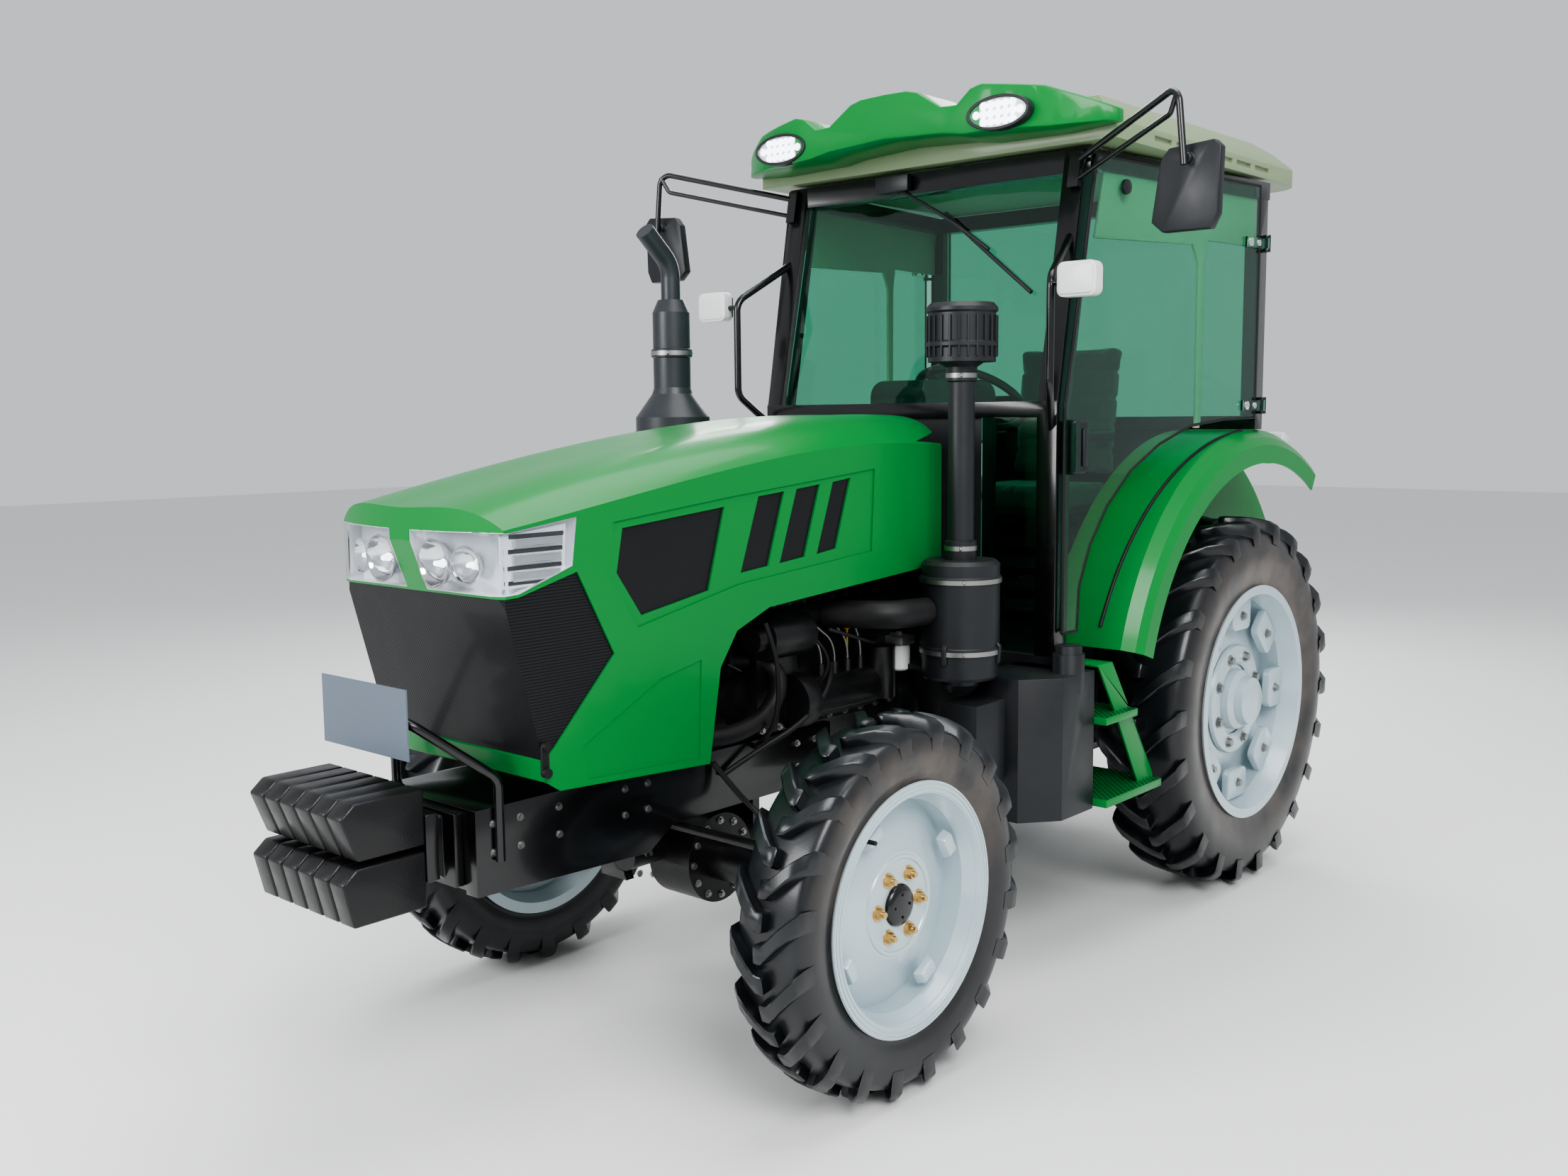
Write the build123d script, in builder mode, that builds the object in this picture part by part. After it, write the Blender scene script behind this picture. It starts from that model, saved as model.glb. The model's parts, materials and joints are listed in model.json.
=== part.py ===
from build123d import *

import os
from math import asin, atan2, cos, degrees, pi, radians, sin, sqrt

# A four-wheel-drive farm tractor with a glazed cab, in millimetres.
# +X is forward, +Y is the driver's left, +Z is up, and z = 0 is the ground.
# Widths that come in pairs are measured from the middle plane, y = 0.

# Layout
wheelbase = 2216
front_overhang = 1234  # front axle to the faces of the weights
rear_overhang = 950  # rear axle to the ends of the lower links
rear_axle_x = (rear_overhang - wheelbase - front_overhang) / 2
front_axle_x = rear_axle_x + wheelbase
seat_gap = 0.3  # between curved faces that meet

# Tyres, rims and tracks
front_tyre_radius = 497
front_tyre_width = 215
front_rim_radius = 330
front_rim_width = 194
front_track = 1460
rear_tyre_radius = 681
rear_tyre_width = 312
rear_rim_radius = 432
rear_rim_width = 284
rear_track = 1224
rim_sheet = 8
flange_height = 25
tyre_sides = 24
lugs_per_row = 20
lug_height = 30
lug_half = 23  # half of a lug's width along the tread
lug_overlap = 6  # how far a lug reaches past the tread's middle
lug_slant = 0.42  # how far a lug leads at the middle, as a share of half the tyre's width

# Front axle and steering
kingpin_y = 590
axle_beam_radius = 62
diff_radius = 128
diff_y = 60
steering_arm = 190
frame_low_z = front_tyre_radius + 103
frame_high_z = frame_low_z + 230

# Hood
hood_half_width = 325
hood_sheet = 5
grille_sheet = 6
grille_lap = 6  # how far a grille reaches behind the hood's edge
hood_recess = 6  # how deep the panel round the side openings lies
panel_recess = 3  # how deep the lower side panel lies
hood_back_x = rear_axle_x + 1400
nose_x = front_axle_x + 927
hood_back_z = 1745
hood_mid_z = 1702
nose_top_z = 1541
shoulder_drop_back = 95
shoulder_drop_nose = 50
hood_bottom_z = frame_high_z + 15
side_bottom_z = 1285

# Cab
cab_front_x = rear_axle_x + 1180
cab_top_front_x = rear_axle_x + 1030
cab_back_x = rear_axle_x
cab_front_half = 600
cab_back_half = 720
cab_floor_z = 985
waist_z = 1764
roof_rail_z = 2560
pillar = 60
glass = 6
roof_half_width = 720
roof_top_z = 2735

# Fenders
fender_radius = 1000
fender_sheet = 6
fender_inner_y = 430
fender_outer_y = 765
fender_front_angle = 18
fender_back_angle = 120

os.makedirs("parts", exist_ok=True)


def wheel_plane(x, y, z, side):
    """Section plane of a wheel: local X points outboard, local Y up."""
    return Plane(origin=(x, y, z), x_dir=(0, side, 0), z_dir=(side, 0, 0))


def side_plane(y):
    """Side view plane at y, with local X forward and local Y up."""
    return Plane(origin=(0, y, 0), x_dir=(1, 0, 0), z_dir=(0, -1, 0))


def front_plane(x):
    """Cross plane at x, with local X to the left and local Y up."""
    return Plane(origin=(x, 0, 0), x_dir=(0, 1, 0), z_dir=(1, 0, 0))


def box(corner, opposite, mode=Mode.ADD):
    """Block between two opposite corners."""
    size = [abs(b - a) for a, b in zip(corner, opposite)]
    middle = tuple((a + b) / 2 for a, b in zip(corner, opposite))
    with Locations(middle):
        Box(*size, mode=mode)


def rod(start, end, radius, mode=Mode.ADD):
    """Round bar from one point to another."""
    start = Vector(*start)
    end = Vector(*end)
    with BuildSketch(Plane(origin=start, z_dir=end - start)) as section:
        Circle(radius)
    extrude(section.sketch, amount=(end - start).length, mode=mode)


def tube(points, radius, bend):
    """Round tube along straight runs joined by bends."""
    with BuildLine() as path:
        FilletPolyline(*points, radius=bend)
    with BuildSketch(Plane(origin=path.line @ 0, z_dir=path.line % 0)) as section:
        Circle(radius)
    sweep(section.sketch, path=path.line)


def side_profile(points, y_low, y_high, mode=Mode.ADD):
    """Prism with a side view outline, from y_low to y_high."""
    with BuildSketch(side_plane(y_high)) as outline:
        with BuildLine():
            Polyline(*points, close=True)
        make_face()
    extrude(outline.sketch, amount=y_high - y_low, mode=mode)


def across(x, z, y_from, y_to, radius, mode=Mode.ADD):
    """Cylinder along Y between two widths."""
    rod((x, y_from, z), (x, y_to, z), radius, mode=mode)


def finish(part, label, name):
    """Label a finished piece and write it out."""
    part.label = label
    export_step(part, f"parts/{name}.step")


SIDES = {"left": 1, "right": -1}


# Tyres

def ring_of(sections):
    """Faceted ring form: a straight-sided loft through polygons given as (offset, radius)."""
    with BuildPart() as form:
        for offset_out, radius in sections:
            with BuildSketch(Plane.XY.offset(offset_out)):
                RegularPolygon(radius, tyre_sides)
        loft(ruled=True)
    return form.part


def tyre_lug(foot, radius, half):
    """One slanted lug on the +X side of an upright axle, from the middle to the upper shoulder."""
    lead = lug_slant * half
    spine = [(lead, -lug_overlap), (0, half * 0.5), (-lead * 0.75, half - 2)]
    ahead = [(u + lug_half, v) for u, v in spine]
    behind = [(u - lug_half, v) for u, v in reversed(spine)]
    reach = lead + lug_half
    with BuildPart() as lug:
        with BuildSketch(Plane(origin=(foot, 0, 0), x_dir=(0, 1, 0), z_dir=(1, 0, 0))):
            with BuildLine():
                Polyline(*ahead, *behind, close=True)
            make_face()
        extrude(amount=sqrt(radius ** 2 - reach ** 2) - foot)
    return lug.part


def tyre_form(radius, width, rim_radius, rim_width):
    """Carcass with two rows of lugs that lead in the way the wheel turns."""
    seat_radius = rim_radius - flange_height + seat_gap
    half = width / 2
    inside = rim_width / 2 - rim_sheet - seat_gap
    tread = radius - lug_height
    wall = tread - rim_radius
    bulge = rim_radius + wall * 0.45
    shoulder = tread - wall * 0.24
    to_flat = 1 / cos(pi / tyre_sides)
    lug = tyre_lug(shoulder - wall * 0.1, radius, half)
    with BuildPart() as form:
        add(ring_of([(-half, shoulder), (-half * 0.78, tread), (half * 0.78, tread),
                     (half, shoulder)]))
        for end in (-1, 1):
            add(ring_of([(end * inside, rim_radius + 2), (end * (half + 1), bulge)]),
                mode=Mode.SUBTRACT)
        add(ring_of([(-half, seat_radius * to_flat), (half, seat_radius * to_flat)]),
            mode=Mode.SUBTRACT)
        with PolarLocations(0, lugs_per_row):
            add(lug)
        with PolarLocations(0, lugs_per_row, start_angle=180 / lugs_per_row):
            add(lug.mirror(Plane.XY))
    return form.part


front_tyre = tyre_form(front_tyre_radius, front_tyre_width, front_rim_radius, front_rim_width)
rear_tyre = tyre_form(rear_tyre_radius, rear_tyre_width, rear_rim_radius, rear_rim_width)
for word, side in SIDES.items():
    for axle, form, x, radius, track in (
            ("front", front_tyre, front_axle_x, front_tyre_radius, front_track),
            ("rear", rear_tyre, rear_axle_x, rear_tyre_radius, rear_track)):
        wheel = Plane(origin=(x, side * track / 2, radius), x_dir=(1, 0, 0), z_dir=(0, 1, 0))
        with BuildPart() as tyre:
            add(form.moved(Location(wheel)))
        finish(tyre.part, f"{axle} {word} tyre", f"{axle}_{word}_tyre")


# Rims

def build_rim(name, x, z, rim_radius, rim_width, track, disc_y, side):
    """Barrel with two flanges, and a dished disc bolted to the hub."""
    half = rim_width / 2
    seat = rim_radius - flange_height
    well = seat - 22
    centre = (x, side * track / 2, z)
    with BuildPart() as rim:
        with BuildSketch(wheel_plane(*centre, side)):
            with BuildLine():
                Polyline(
                    (-half, rim_radius),
                    (-half + rim_sheet, rim_radius - 3),
                    (-half + rim_sheet, seat),
                    (-half * 0.45, well),
                    (half * 0.45, well),
                    (half - rim_sheet, seat),
                    (half - rim_sheet, rim_radius - 3),
                    (half, rim_radius),
                    (half, seat - rim_sheet),
                    (half * 0.5, well - rim_sheet),
                    (-half * 0.5, well - rim_sheet),
                    (-half, seat - rim_sheet),
                    close=True,
                )
            make_face()
        revolve(axis=Axis(centre, (0, 1, 0)))
        hub_face = disc_y + 12
        with BuildSketch(wheel_plane(*centre, side)):
            with BuildLine():
                Polyline(
                    (hub_face, 0),
                    (hub_face, rim_radius * 0.42),
                    (disc_y - 42, well - rim_sheet + 1),
                    (disc_y - 54, well - rim_sheet + 1),
                    (disc_y, rim_radius * 0.42 - 8),
                    (disc_y, 0),
                    close=True,
                )
            make_face()
        revolve(axis=Axis(centre, (0, 1, 0)))
    finish(rim.part, f"{name} rim", f"{name}_rim")


front_disc_y = 30
rear_disc_y = 40
for word, side in SIDES.items():
    build_rim(f"front_{word}", front_axle_x, front_tyre_radius, front_rim_radius,
              front_rim_width, front_track, front_disc_y, side)
    build_rim(f"rear_{word}", rear_axle_x, rear_tyre_radius, rear_rim_radius,
              rear_rim_width, rear_track, rear_disc_y, side)


# Knuckles: the swivel housings with their hubs and steering arms

hub_radius = 105
fork_gap = 92  # half height of the axle's end between the swivel arms
front_hub_y = front_track / 2 + front_disc_y

for word, side in SIDES.items():
    hub_end = (front_axle_x, side * (front_hub_y - seat_gap), front_tyre_radius)
    hub_start = (front_axle_x, side * (kingpin_y + 62), front_tyre_radius)
    with BuildPart() as knuckle:
        rod(hub_start, hub_end, hub_radius)
        for up in (1, -1):
            z_near = front_tyre_radius + up * (fork_gap + seat_gap)
            z_far = front_tyre_radius + up * (fork_gap + 30)
            box((front_axle_x - 45, side * (kingpin_y - 40), z_near),
                (front_axle_x + 45, side * (kingpin_y + 75), z_far))
            box((front_axle_x - 45, side * (kingpin_y + 62), front_tyre_radius),
                (front_axle_x + 45, side * (kingpin_y + 90), z_far))
        arm_z = front_tyre_radius + fork_gap + 15
        arm_end_x = front_axle_x + steering_arm
        box((front_axle_x, side * (kingpin_y - 22), arm_z - 14.7),
            (arm_end_x, side * (kingpin_y + 22), arm_z + 15))
        with Locations((arm_end_x, side * kingpin_y, arm_z)):
            Cylinder(26, 29.4)
            Cylinder(12, 100, mode=Mode.SUBTRACT)
    finish(knuckle.part, f"{word} knuckle", f"{word}_knuckle")

tie_rod_z = front_tyre_radius + fork_gap + 47
with BuildPart() as tie_rod:
    rod((front_axle_x + steering_arm, -kingpin_y, tie_rod_z),
        (front_axle_x + steering_arm, kingpin_y, tie_rod_z), 13)
    for side in SIDES.values():
        with Locations((front_axle_x + steering_arm, side * kingpin_y, tie_rod_z)):
            Cylinder(24, 32)
        with Locations((front_axle_x + steering_arm, side * kingpin_y, tie_rod_z - 30)):
            Cylinder(11.95, 40)
finish(tie_rod.part, "tie rod", "tie_rod")


gearbox_front_x = rear_axle_x + 700
trunnion_z = front_tyre_radius + 40
trunnion_reach = 215
saddle = 30
guard_gap = 3  # from the gearbox to the slanted end of the driveshaft's guard

# Front axle: beam, centre housing and the ends that the knuckles swivel on

with BuildPart() as front_axle:
    beam_end = kingpin_y - 40
    rod((front_axle_x, -beam_end, front_tyre_radius),
        (front_axle_x, beam_end, front_tyre_radius), axle_beam_radius)
    with BuildSketch(side_plane(diff_y + 80)):
        with Locations((front_axle_x, front_tyre_radius)):
            Circle(diff_radius)
    extrude(amount=160)
    rod((front_axle_x - 260, diff_y, front_tyre_radius),
        (front_axle_x, diff_y, front_tyre_radius), 55)
    for side in SIDES.values():
        rod((front_axle_x, side * kingpin_y, front_tyre_radius - fork_gap),
            (front_axle_x, side * kingpin_y, front_tyre_radius + fork_gap), 52)
    # The trunnions that the axle hangs from, fore and aft of the centre housing
    rod((front_axle_x - trunnion_reach, 0, trunnion_z),
        (front_axle_x + trunnion_reach + 30, 0, trunnion_z), 48)
    # The guard of the driveshaft, back to the gearbox
    rod((gearbox_front_x + 240 + guard_gap, diff_y, 560),
        (front_axle_x - 250, diff_y, front_tyre_radius), 34)
finish(front_axle.part, "front axle", "front_axle")


# Front frame: two side rails, the axle's saddles and the front cross wall

frame_half = 200
rail_width = 45
frame_front_x = nose_x - 43
frame_back_x = front_axle_x - 420

with BuildPart() as front_frame:
    for side in SIDES.values():
        side_profile(
            [
                (frame_back_x, frame_low_z + 110),
                (front_axle_x - 240, frame_low_z + 60),
                (front_axle_x + 240, frame_low_z + 60),
                (front_axle_x + 330, frame_low_z),
                (frame_front_x, frame_low_z + 20),
                (frame_front_x, frame_high_z),
                (frame_back_x, frame_high_z),
            ],
            side * frame_half, side * (frame_half - rail_width),
        )
    box((frame_front_x - 40, -frame_half, frame_low_z + 30),
        (frame_front_x, frame_half, frame_high_z))
    box((front_axle_x + 330, -frame_half, frame_high_z - 25),
        (frame_front_x, frame_half, frame_high_z))
    for x, top in ((front_axle_x - trunnion_reach, frame_low_z + 110),
                   (front_axle_x + trunnion_reach, frame_high_z)):
        box((x, -frame_half, frame_low_z + 60), (x + saddle, frame_half, top))
        box((x, -95, trunnion_z - 75), (x + saddle, 95, frame_low_z + 60))
        rod((x - 1, 0, trunnion_z), (x + saddle + 1, 0, trunnion_z), 48 + seat_gap,
            mode=Mode.SUBTRACT)
        rod((x - 1, diff_y, front_tyre_radius), (x + saddle + 1, diff_y, front_tyre_radius),
            60, mode=Mode.SUBTRACT)
finish(front_frame.part, "front frame", "front_frame")


# Engine: block, sump, head, covers and flywheel housing

engine_back_x = rear_axle_x + 1370
engine_front_x = engine_back_x + 800
crank_z = 790
flywheel_radius = 215

side_x = engine_back_x + 100  # where what hangs on the engine's sides begins
cover_x = engine_front_x - 10
pump_y = 205
filter_radius = 46
manifold_y = 178
manifold_radius = 34

with BuildPart() as engine:
    box((engine_back_x + 80, -190, crank_z + 45), (engine_front_x - 60, 190, crank_z + 300))
    box((engine_back_x + 80, -148, crank_z - 60), (engine_front_x - 60, 148, crank_z + 45))
    box((engine_back_x + 80, -140, crank_z - 150), (engine_front_x - 230, 140, crank_z - 60))
    box((engine_back_x + 100, -140, crank_z + 300), (engine_front_x - 90, 150, crank_z + 420))
    box((engine_back_x + 120, -90, crank_z + 420), (engine_front_x - 110, 90, crank_z + 500))
    rod((engine_back_x, 0, crank_z), (engine_back_x + 80, 0, crank_z), flywheel_radius)
    # Crank pulley, water pump and alternator, with their belt pulleys in one plane
    rod((engine_front_x - 60, 0, crank_z), (cover_x, 0, crank_z), 95)
    rod((engine_front_x - 60, 60, crank_z + 260), (cover_x, 60, crank_z + 260), 70)
    rod((engine_front_x - 230, 215, crank_z + 330), (engine_front_x - 50, 215, crank_z + 330), 62)
    rod((engine_front_x - 50, 215, crank_z + 330), (cover_x, 215, crank_z + 330), 38)
    box((engine_front_x - 180, 140, crank_z + 280), (engine_front_x - 120, 215, crank_z + 330))
    # Cooling fan on the water pump's shaft
    rod((cover_x, 0, crank_z + 260), (cover_x + 70, 0, crank_z + 260), 40)
    for angle in range(0, 360, 60):
        arm = Vector(0, cos(radians(angle)), sin(radians(angle)))
        foot = Vector(cover_x + 50, 0, crank_z + 260)
        with BuildSketch(Plane(origin=foot + arm * 30, x_dir=(0.9, -0.43 * arm.Z, 0.43 * arm.Y),
                               z_dir=arm)) as blade:
            Rectangle(60, 5)
        extrude(blade.sketch, amount=170)
    # Injection pump and its drive, oil filter and starter on the left and right
    rod((side_x + 160, pump_y, crank_z + 130), (side_x + 460, pump_y, crank_z + 130), 62)
    rod((side_x + 460, pump_y, crank_z + 130), (side_x + 520, pump_y, crank_z + 130), 80)
    for i in range(4):
        rod((side_x + 200 + i * 62, pump_y + 10, crank_z + 185),
            (side_x + 200 + i * 62, pump_y + 10, crank_z + 225), 11)
    box((side_x + 75, 190, crank_z + 210), (side_x + 165, 235, crank_z + 290))
    rod((side_x + 120, 232, crank_z + 90), (side_x + 120, 232, crank_z + 250), filter_radius)
    rod((side_x, -222, crank_z + 60), (side_x + 230, -222, crank_z + 60), 52)
    # Inlet manifold on the left and exhaust manifold on the right
    for y in (manifold_y, 10 - manifold_y):
        rod((side_x + 30, y, crank_z + 372), (engine_front_x - 130, y, crank_z + 372),
            manifold_radius)
    # Oil filler on the rocker cover
    rod((side_x + 420, 40, crank_z + 495), (side_x + 420, 40, crank_z + 535), 26)
finish(engine.part, "engine", "engine")

# Radiator with its shroud, behind the grille

radiator_x = engine_front_x + 330
with BuildPart() as radiator:
    box((radiator_x, -260, frame_high_z + seat_gap), (radiator_x + 90, 260, 1330))
    with BuildSketch(front_plane(radiator_x)):
        with Locations((0, 1070)):
            Circle(235)
    extrude(amount=-70)
    rod((radiator_x - 71, 0, 1070), (radiator_x, 0, 1070), 200, mode=Mode.SUBTRACT)
    # Filler neck and the two hose stubs
    rod((radiator_x + 45, 0, 1330), (radiator_x + 45, 0, 1352), 34)
    rod((radiator_x - 45, 190, 1290), (radiator_x, 190, 1290), 26)
    rod((radiator_x - 45, 200, frame_high_z + 50), (radiator_x, 200, frame_high_z + 50), 26)
finish(radiator.part, "radiator", "radiator")

# Transmission: clutch housing, gearbox and rear axle housing in one casting line

axle_z = rear_tyre_radius
trumpet_radius = 92
rear_hub_y = rear_track / 2 + rear_disc_y

with BuildPart() as transmission:
    box((gearbox_front_x + 200, -210, 620), (engine_back_x, 210, 930))
    box((rear_axle_x + 180, -190, 520), (gearbox_front_x + 200, 190, 930))
    box((rear_axle_x - 270, -200, 500), (rear_axle_x + 180, 200, 930))
    box((gearbox_front_x + 100, diff_y - 60, 500), (gearbox_front_x + 240, diff_y + 60, 625))
    # Lift housing with the rockshaft's bore, the power take-off and the link lugs
    box((rear_axle_x - 290, -150, 925), (rear_axle_x - 120, 150, 1085))
    across(rear_axle_x - 200, 1020, -160, 160, 32.05, mode=Mode.SUBTRACT)
    rod((rear_axle_x - 360, 0, 640), (rear_axle_x - 270, 0, 640), 17.5)
    for side in SIDES.values():
        side_profile([(rear_axle_x - 240, 500), (rear_axle_x - 240, 425), (rear_axle_x - 215, 400),
                      (rear_axle_x - 185, 400), (rear_axle_x - 160, 425),
                      (rear_axle_x - 160, 520), (rear_axle_x - 240, 520)],
                     side * 188, side * 208)
        across(rear_axle_x - 200, 440, side * 200, side * 252, 14)
finish(transmission.part, "transmission", "transmission")

with BuildPart() as rear_axle:
    for side in SIDES.values():
        rod((rear_axle_x, side * 200, axle_z), (rear_axle_x, side * 250, axle_z), 165)
        rod((rear_axle_x, side * 250, axle_z), (rear_axle_x, side * 440, axle_z), trumpet_radius)
        rod((rear_axle_x, side * 440, axle_z),
            (rear_axle_x, side * (rear_hub_y - 40), axle_z), 60)
        rod((rear_axle_x, side * (rear_hub_y - 40), axle_z),
            (rear_axle_x, side * (rear_hub_y - seat_gap), axle_z), 120)
finish(rear_axle.part, "rear axle", "rear_axle")


# Weights at the nose: a carrier bolted to the frame, and two rows of slabs

weight_count = 6
weight_pitch = 66
weight_gap = 5
weight_back_x = frame_front_x + 40
weight_face_x = front_axle_x + front_overhang
carrier_z = 705

with BuildPart() as weight_carrier:
    box((frame_front_x, -150, 640), (frame_front_x + 25, 150, 820))
    for side in SIDES.values():
        side_profile([(frame_front_x + 25, 655), (weight_back_x + 90, 735),
                      (weight_back_x + 90, 775), (frame_front_x + 25, 810)],
                     side * 95 - 12, side * 95 + 12)
    box((weight_back_x + 60, -weight_pitch * weight_count / 2, 690),
        (weight_back_x + 95 - seat_gap, weight_pitch * weight_count / 2, 850))
finish(weight_carrier.part, "weight carrier", "weight_carrier")

with BuildPart() as front_weights:
    for row, (low, high, lean) in enumerate(((633, 766, 25), (780, 913, 40))):
        for i in range(weight_count):
            y_low = (i - weight_count / 2) * weight_pitch + weight_gap / 2
            side_profile(
                [
                    (weight_back_x + 95, low),
                    (weight_face_x - lean, low),
                    (weight_face_x, high - 30),
                    (weight_face_x - 35, high),
                    (weight_back_x + 95, high),
                ],
                y_low, y_low + weight_pitch - weight_gap,
            )
finish(front_weights.part, "front weights", "front_weights")

plate_x = frame_front_x + 155
with BuildPart() as number_plate:
    box((plate_x, -175, 975), (plate_x + 4, 175, 1140))
finish(number_plate.part, "number plate", "number_plate")

bar_radius = 12
bar_y = frame_half + bar_radius + seat_gap
with BuildPart() as plate_bar:
    tube([(frame_front_x - 60, bar_y, 700), (frame_front_x - 60, bar_y, 900),
          (plate_x - bar_radius - seat_gap, bar_y - 60, 1060),
          (plate_x - bar_radius - seat_gap, -bar_y + 60, 1060),
          (frame_front_x - 60, -bar_y, 900), (frame_front_x - 60, -bar_y, 700)],
         bar_radius, 45)
finish(plate_bar.part, "number plate bar", "plate_bar")


# Hood: one crowned shell over the engine that tilts up about its rear edge

def crown_section(x, top_z, drop, inset):
    """Cross-section of the hood with upright sides and a crowned top."""
    half = hood_half_width - inset
    top = top_z - inset
    shoulder = top_z - drop
    with BuildSketch(front_plane(x)) as section:
        with BuildLine():
            Polyline((-half, shoulder), (-half, 500), (half, 500), (half, shoulder))
            Spline((half, shoulder), (half * 0.82, shoulder + (top - shoulder) * 0.62),
                   (0, top), (-half * 0.82, shoulder + (top - shoulder) * 0.62),
                   (-half, shoulder))
        make_face()
    return section.sketch


def hood_volume(inset):
    """The hood's outer form, or the space inside it when inset is its sheet."""
    back = hood_back_x - (100 if inset else 0)
    low = 60 if inset else 0
    front = nose_x - inset
    with BuildPart() as form:
        add(crown_section(back, hood_back_z, shoulder_drop_back, inset))
        add(crown_section(front_axle_x + 34, hood_mid_z, shoulder_drop_back - 15, inset))
        add(crown_section(front_axle_x + 634, nose_top_z + 62, shoulder_drop_nose + 22, inset))
        add(crown_section(nose_x + 30, nose_top_z - 8, shoulder_drop_nose, inset))
        loft()
        with BuildSketch(Plane.XY):
            with BuildLine():
                Polyline((front - 55, -hood_half_width), (back - 1, -hood_half_width - 1),
                         (back - 1, hood_half_width + 1), (front - 55, hood_half_width))
                ThreePointArc((front - 55, hood_half_width), (front, 0),
                              (front - 55, -hood_half_width))
            make_face()
        extrude(amount=2200, mode=Mode.INTERSECT)
        with BuildSketch(side_plane(-600)):
            with BuildLine():
                Polyline(
                    (back - 1, side_bottom_z - low),
                    (front_axle_x - 16, 1230 - low),
                    (front_axle_x + 114, 1180 - low),
                    (front_axle_x + 179, 1090 - low),
                    (front_axle_x + 224 + inset, hood_bottom_z - 5 - low),
                    (front_axle_x + 729, hood_bottom_z + 25 - low),
                    (front_axle_x + 774 - inset, hood_bottom_z + 55),
                    (front_axle_x + 782 - inset, hood_bottom_z + 115),
                    (front_axle_x + 879 - inset, 1335),
                    (nose_x + 10 - inset, 1490),
                    (nose_x + 10 - inset, 1900),
                    (back - 1, 1900),
                    close=True,
                )
            make_face()
        extrude(amount=-1200, mode=Mode.INTERSECT)
    return form.part


def region(points, y_low=-700, y_high=700, grow=0):
    """Prism of a side view outline, grown all round, for cutting matching pieces."""
    with BuildPart() as prism:
        with BuildSketch(side_plane(y_high)):
            with BuildLine():
                Polyline(*points, close=True)
            make_face()
            if grow:
                offset(amount=grow, kind=Kind.INTERSECTION)
        extrude(amount=y_high - y_low)
    return prism.part


hood_outer = hood_volume(0)
hood_inner = hood_volume(hood_sheet)
lamp_inner = hood_volume(40)
grille_outer = hood_volume(hood_sheet + seat_gap)
grille_inner = hood_volume(hood_sheet + seat_gap + grille_sheet)
recess_outer = hood_volume(hood_recess)
recess_inner = hood_volume(hood_recess + hood_sheet)
side_grille_outer = hood_volume(hood_recess + hood_sheet + seat_gap)
side_grille_inner = hood_volume(hood_recess + hood_sheet + seat_gap + grille_sheet)
panel_outer = hood_volume(panel_recess)
panel_inner = hood_volume(panel_recess + hood_sheet)

lamp_points = [
    (front_axle_x + 1084, 1487), (front_axle_x + 854, 1489), (front_axle_x + 658, 1514),
    (front_axle_x + 674, 1400), (front_axle_x + 834, 1347), (front_axle_x + 1084, 1337),
]
grille_points = [
    (front_axle_x + 1084, 1330), (front_axle_x + 834, 1340), (front_axle_x + 660, 1385),
    (front_axle_x + 549, 1175), (front_axle_x + 744, 975), (front_axle_x + 784, 945),
    (front_axle_x + 1084, 945),
]
window_points = [
    (front_axle_x + 510, 1478), (front_axle_x + 152, 1511), (front_axle_x + 215, 1297),
    (front_axle_x + 453, 1258), (front_axle_x + 532, 1370),
]
recess_points = [
    (front_axle_x + 543, 1495), (front_axle_x + 560, 1370), (front_axle_x + 468, 1230),
    (front_axle_x + 98, 1303), (front_axle_x - 465, 1348), (front_axle_x - 480, 1590),
    (front_axle_x + 149, 1535),
]
panel_points = [
    (front_axle_x + 655, 965), (front_axle_x + 396, 1091), (front_axle_x + 250, 1120),
    (front_axle_x + 262, hood_bottom_z + 18), (front_axle_x + 640, hood_bottom_z + 34),
]
slot_tops = [(20, 1532, 105), (-136, 1545, 100), (-293, 1558, 80)]
lamp_inner_y = 42


def slot_points(top_x, top_z, width):
    """Leaning four-sided louvre slot, from the fore corner of its top edge."""
    fore = front_axle_x + top_x
    return [(fore, top_z), (fore - width, top_z + 9), (fore - width + 68, top_z - 190),
            (fore + 73, top_z - 200)]


lamp_left = region(lamp_points, lamp_inner_y, 700)
lamp_right = region(lamp_points, -700, -lamp_inner_y)
grille_cut = region(grille_points)
side_outlines = [window_points] + [slot_points(*slot) for slot in slot_tops]


def skin(outer, inner, cutters):
    """Pieces of the hood's skin between two forms that lie within the cutters."""
    pieces = []
    for cutter in cutters:
        with BuildPart() as piece:
            add(outer)
            add(inner, mode=Mode.SUBTRACT)
            add(cutter, mode=Mode.INTERSECT)
        pieces.append(piece.part)
    return pieces


hinge_x = hood_back_x + 28
hinge_z = hood_back_z - 105
hinge_y = 170
hinge_pin = 9

hood_ears = []
for side in SIDES.values():
    with BuildPart() as ear:
        box((hinge_x - 14, side * (hinge_y - 8), hinge_z - 14),
            (hinge_x + 60, side * hinge_y, hood_back_z + 50))
        across(hinge_x, hinge_z, side * (hinge_y - 20), side * (hinge_y + 20),
               hinge_pin + 0.05, mode=Mode.SUBTRACT)
        add(hood_outer, mode=Mode.INTERSECT)
    hood_ears.append(ear.part)

def pressed_panel(points, floor):
    """What a pressing takes from the outside of the sheet."""
    return skin(hood_outer, floor, [region(points)])


def pressed_backing(points, back):
    """What a pressing adds behind the sheet, with its walls."""
    return skin(hood_inner, back, [region(points, grow=hood_sheet)])


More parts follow.
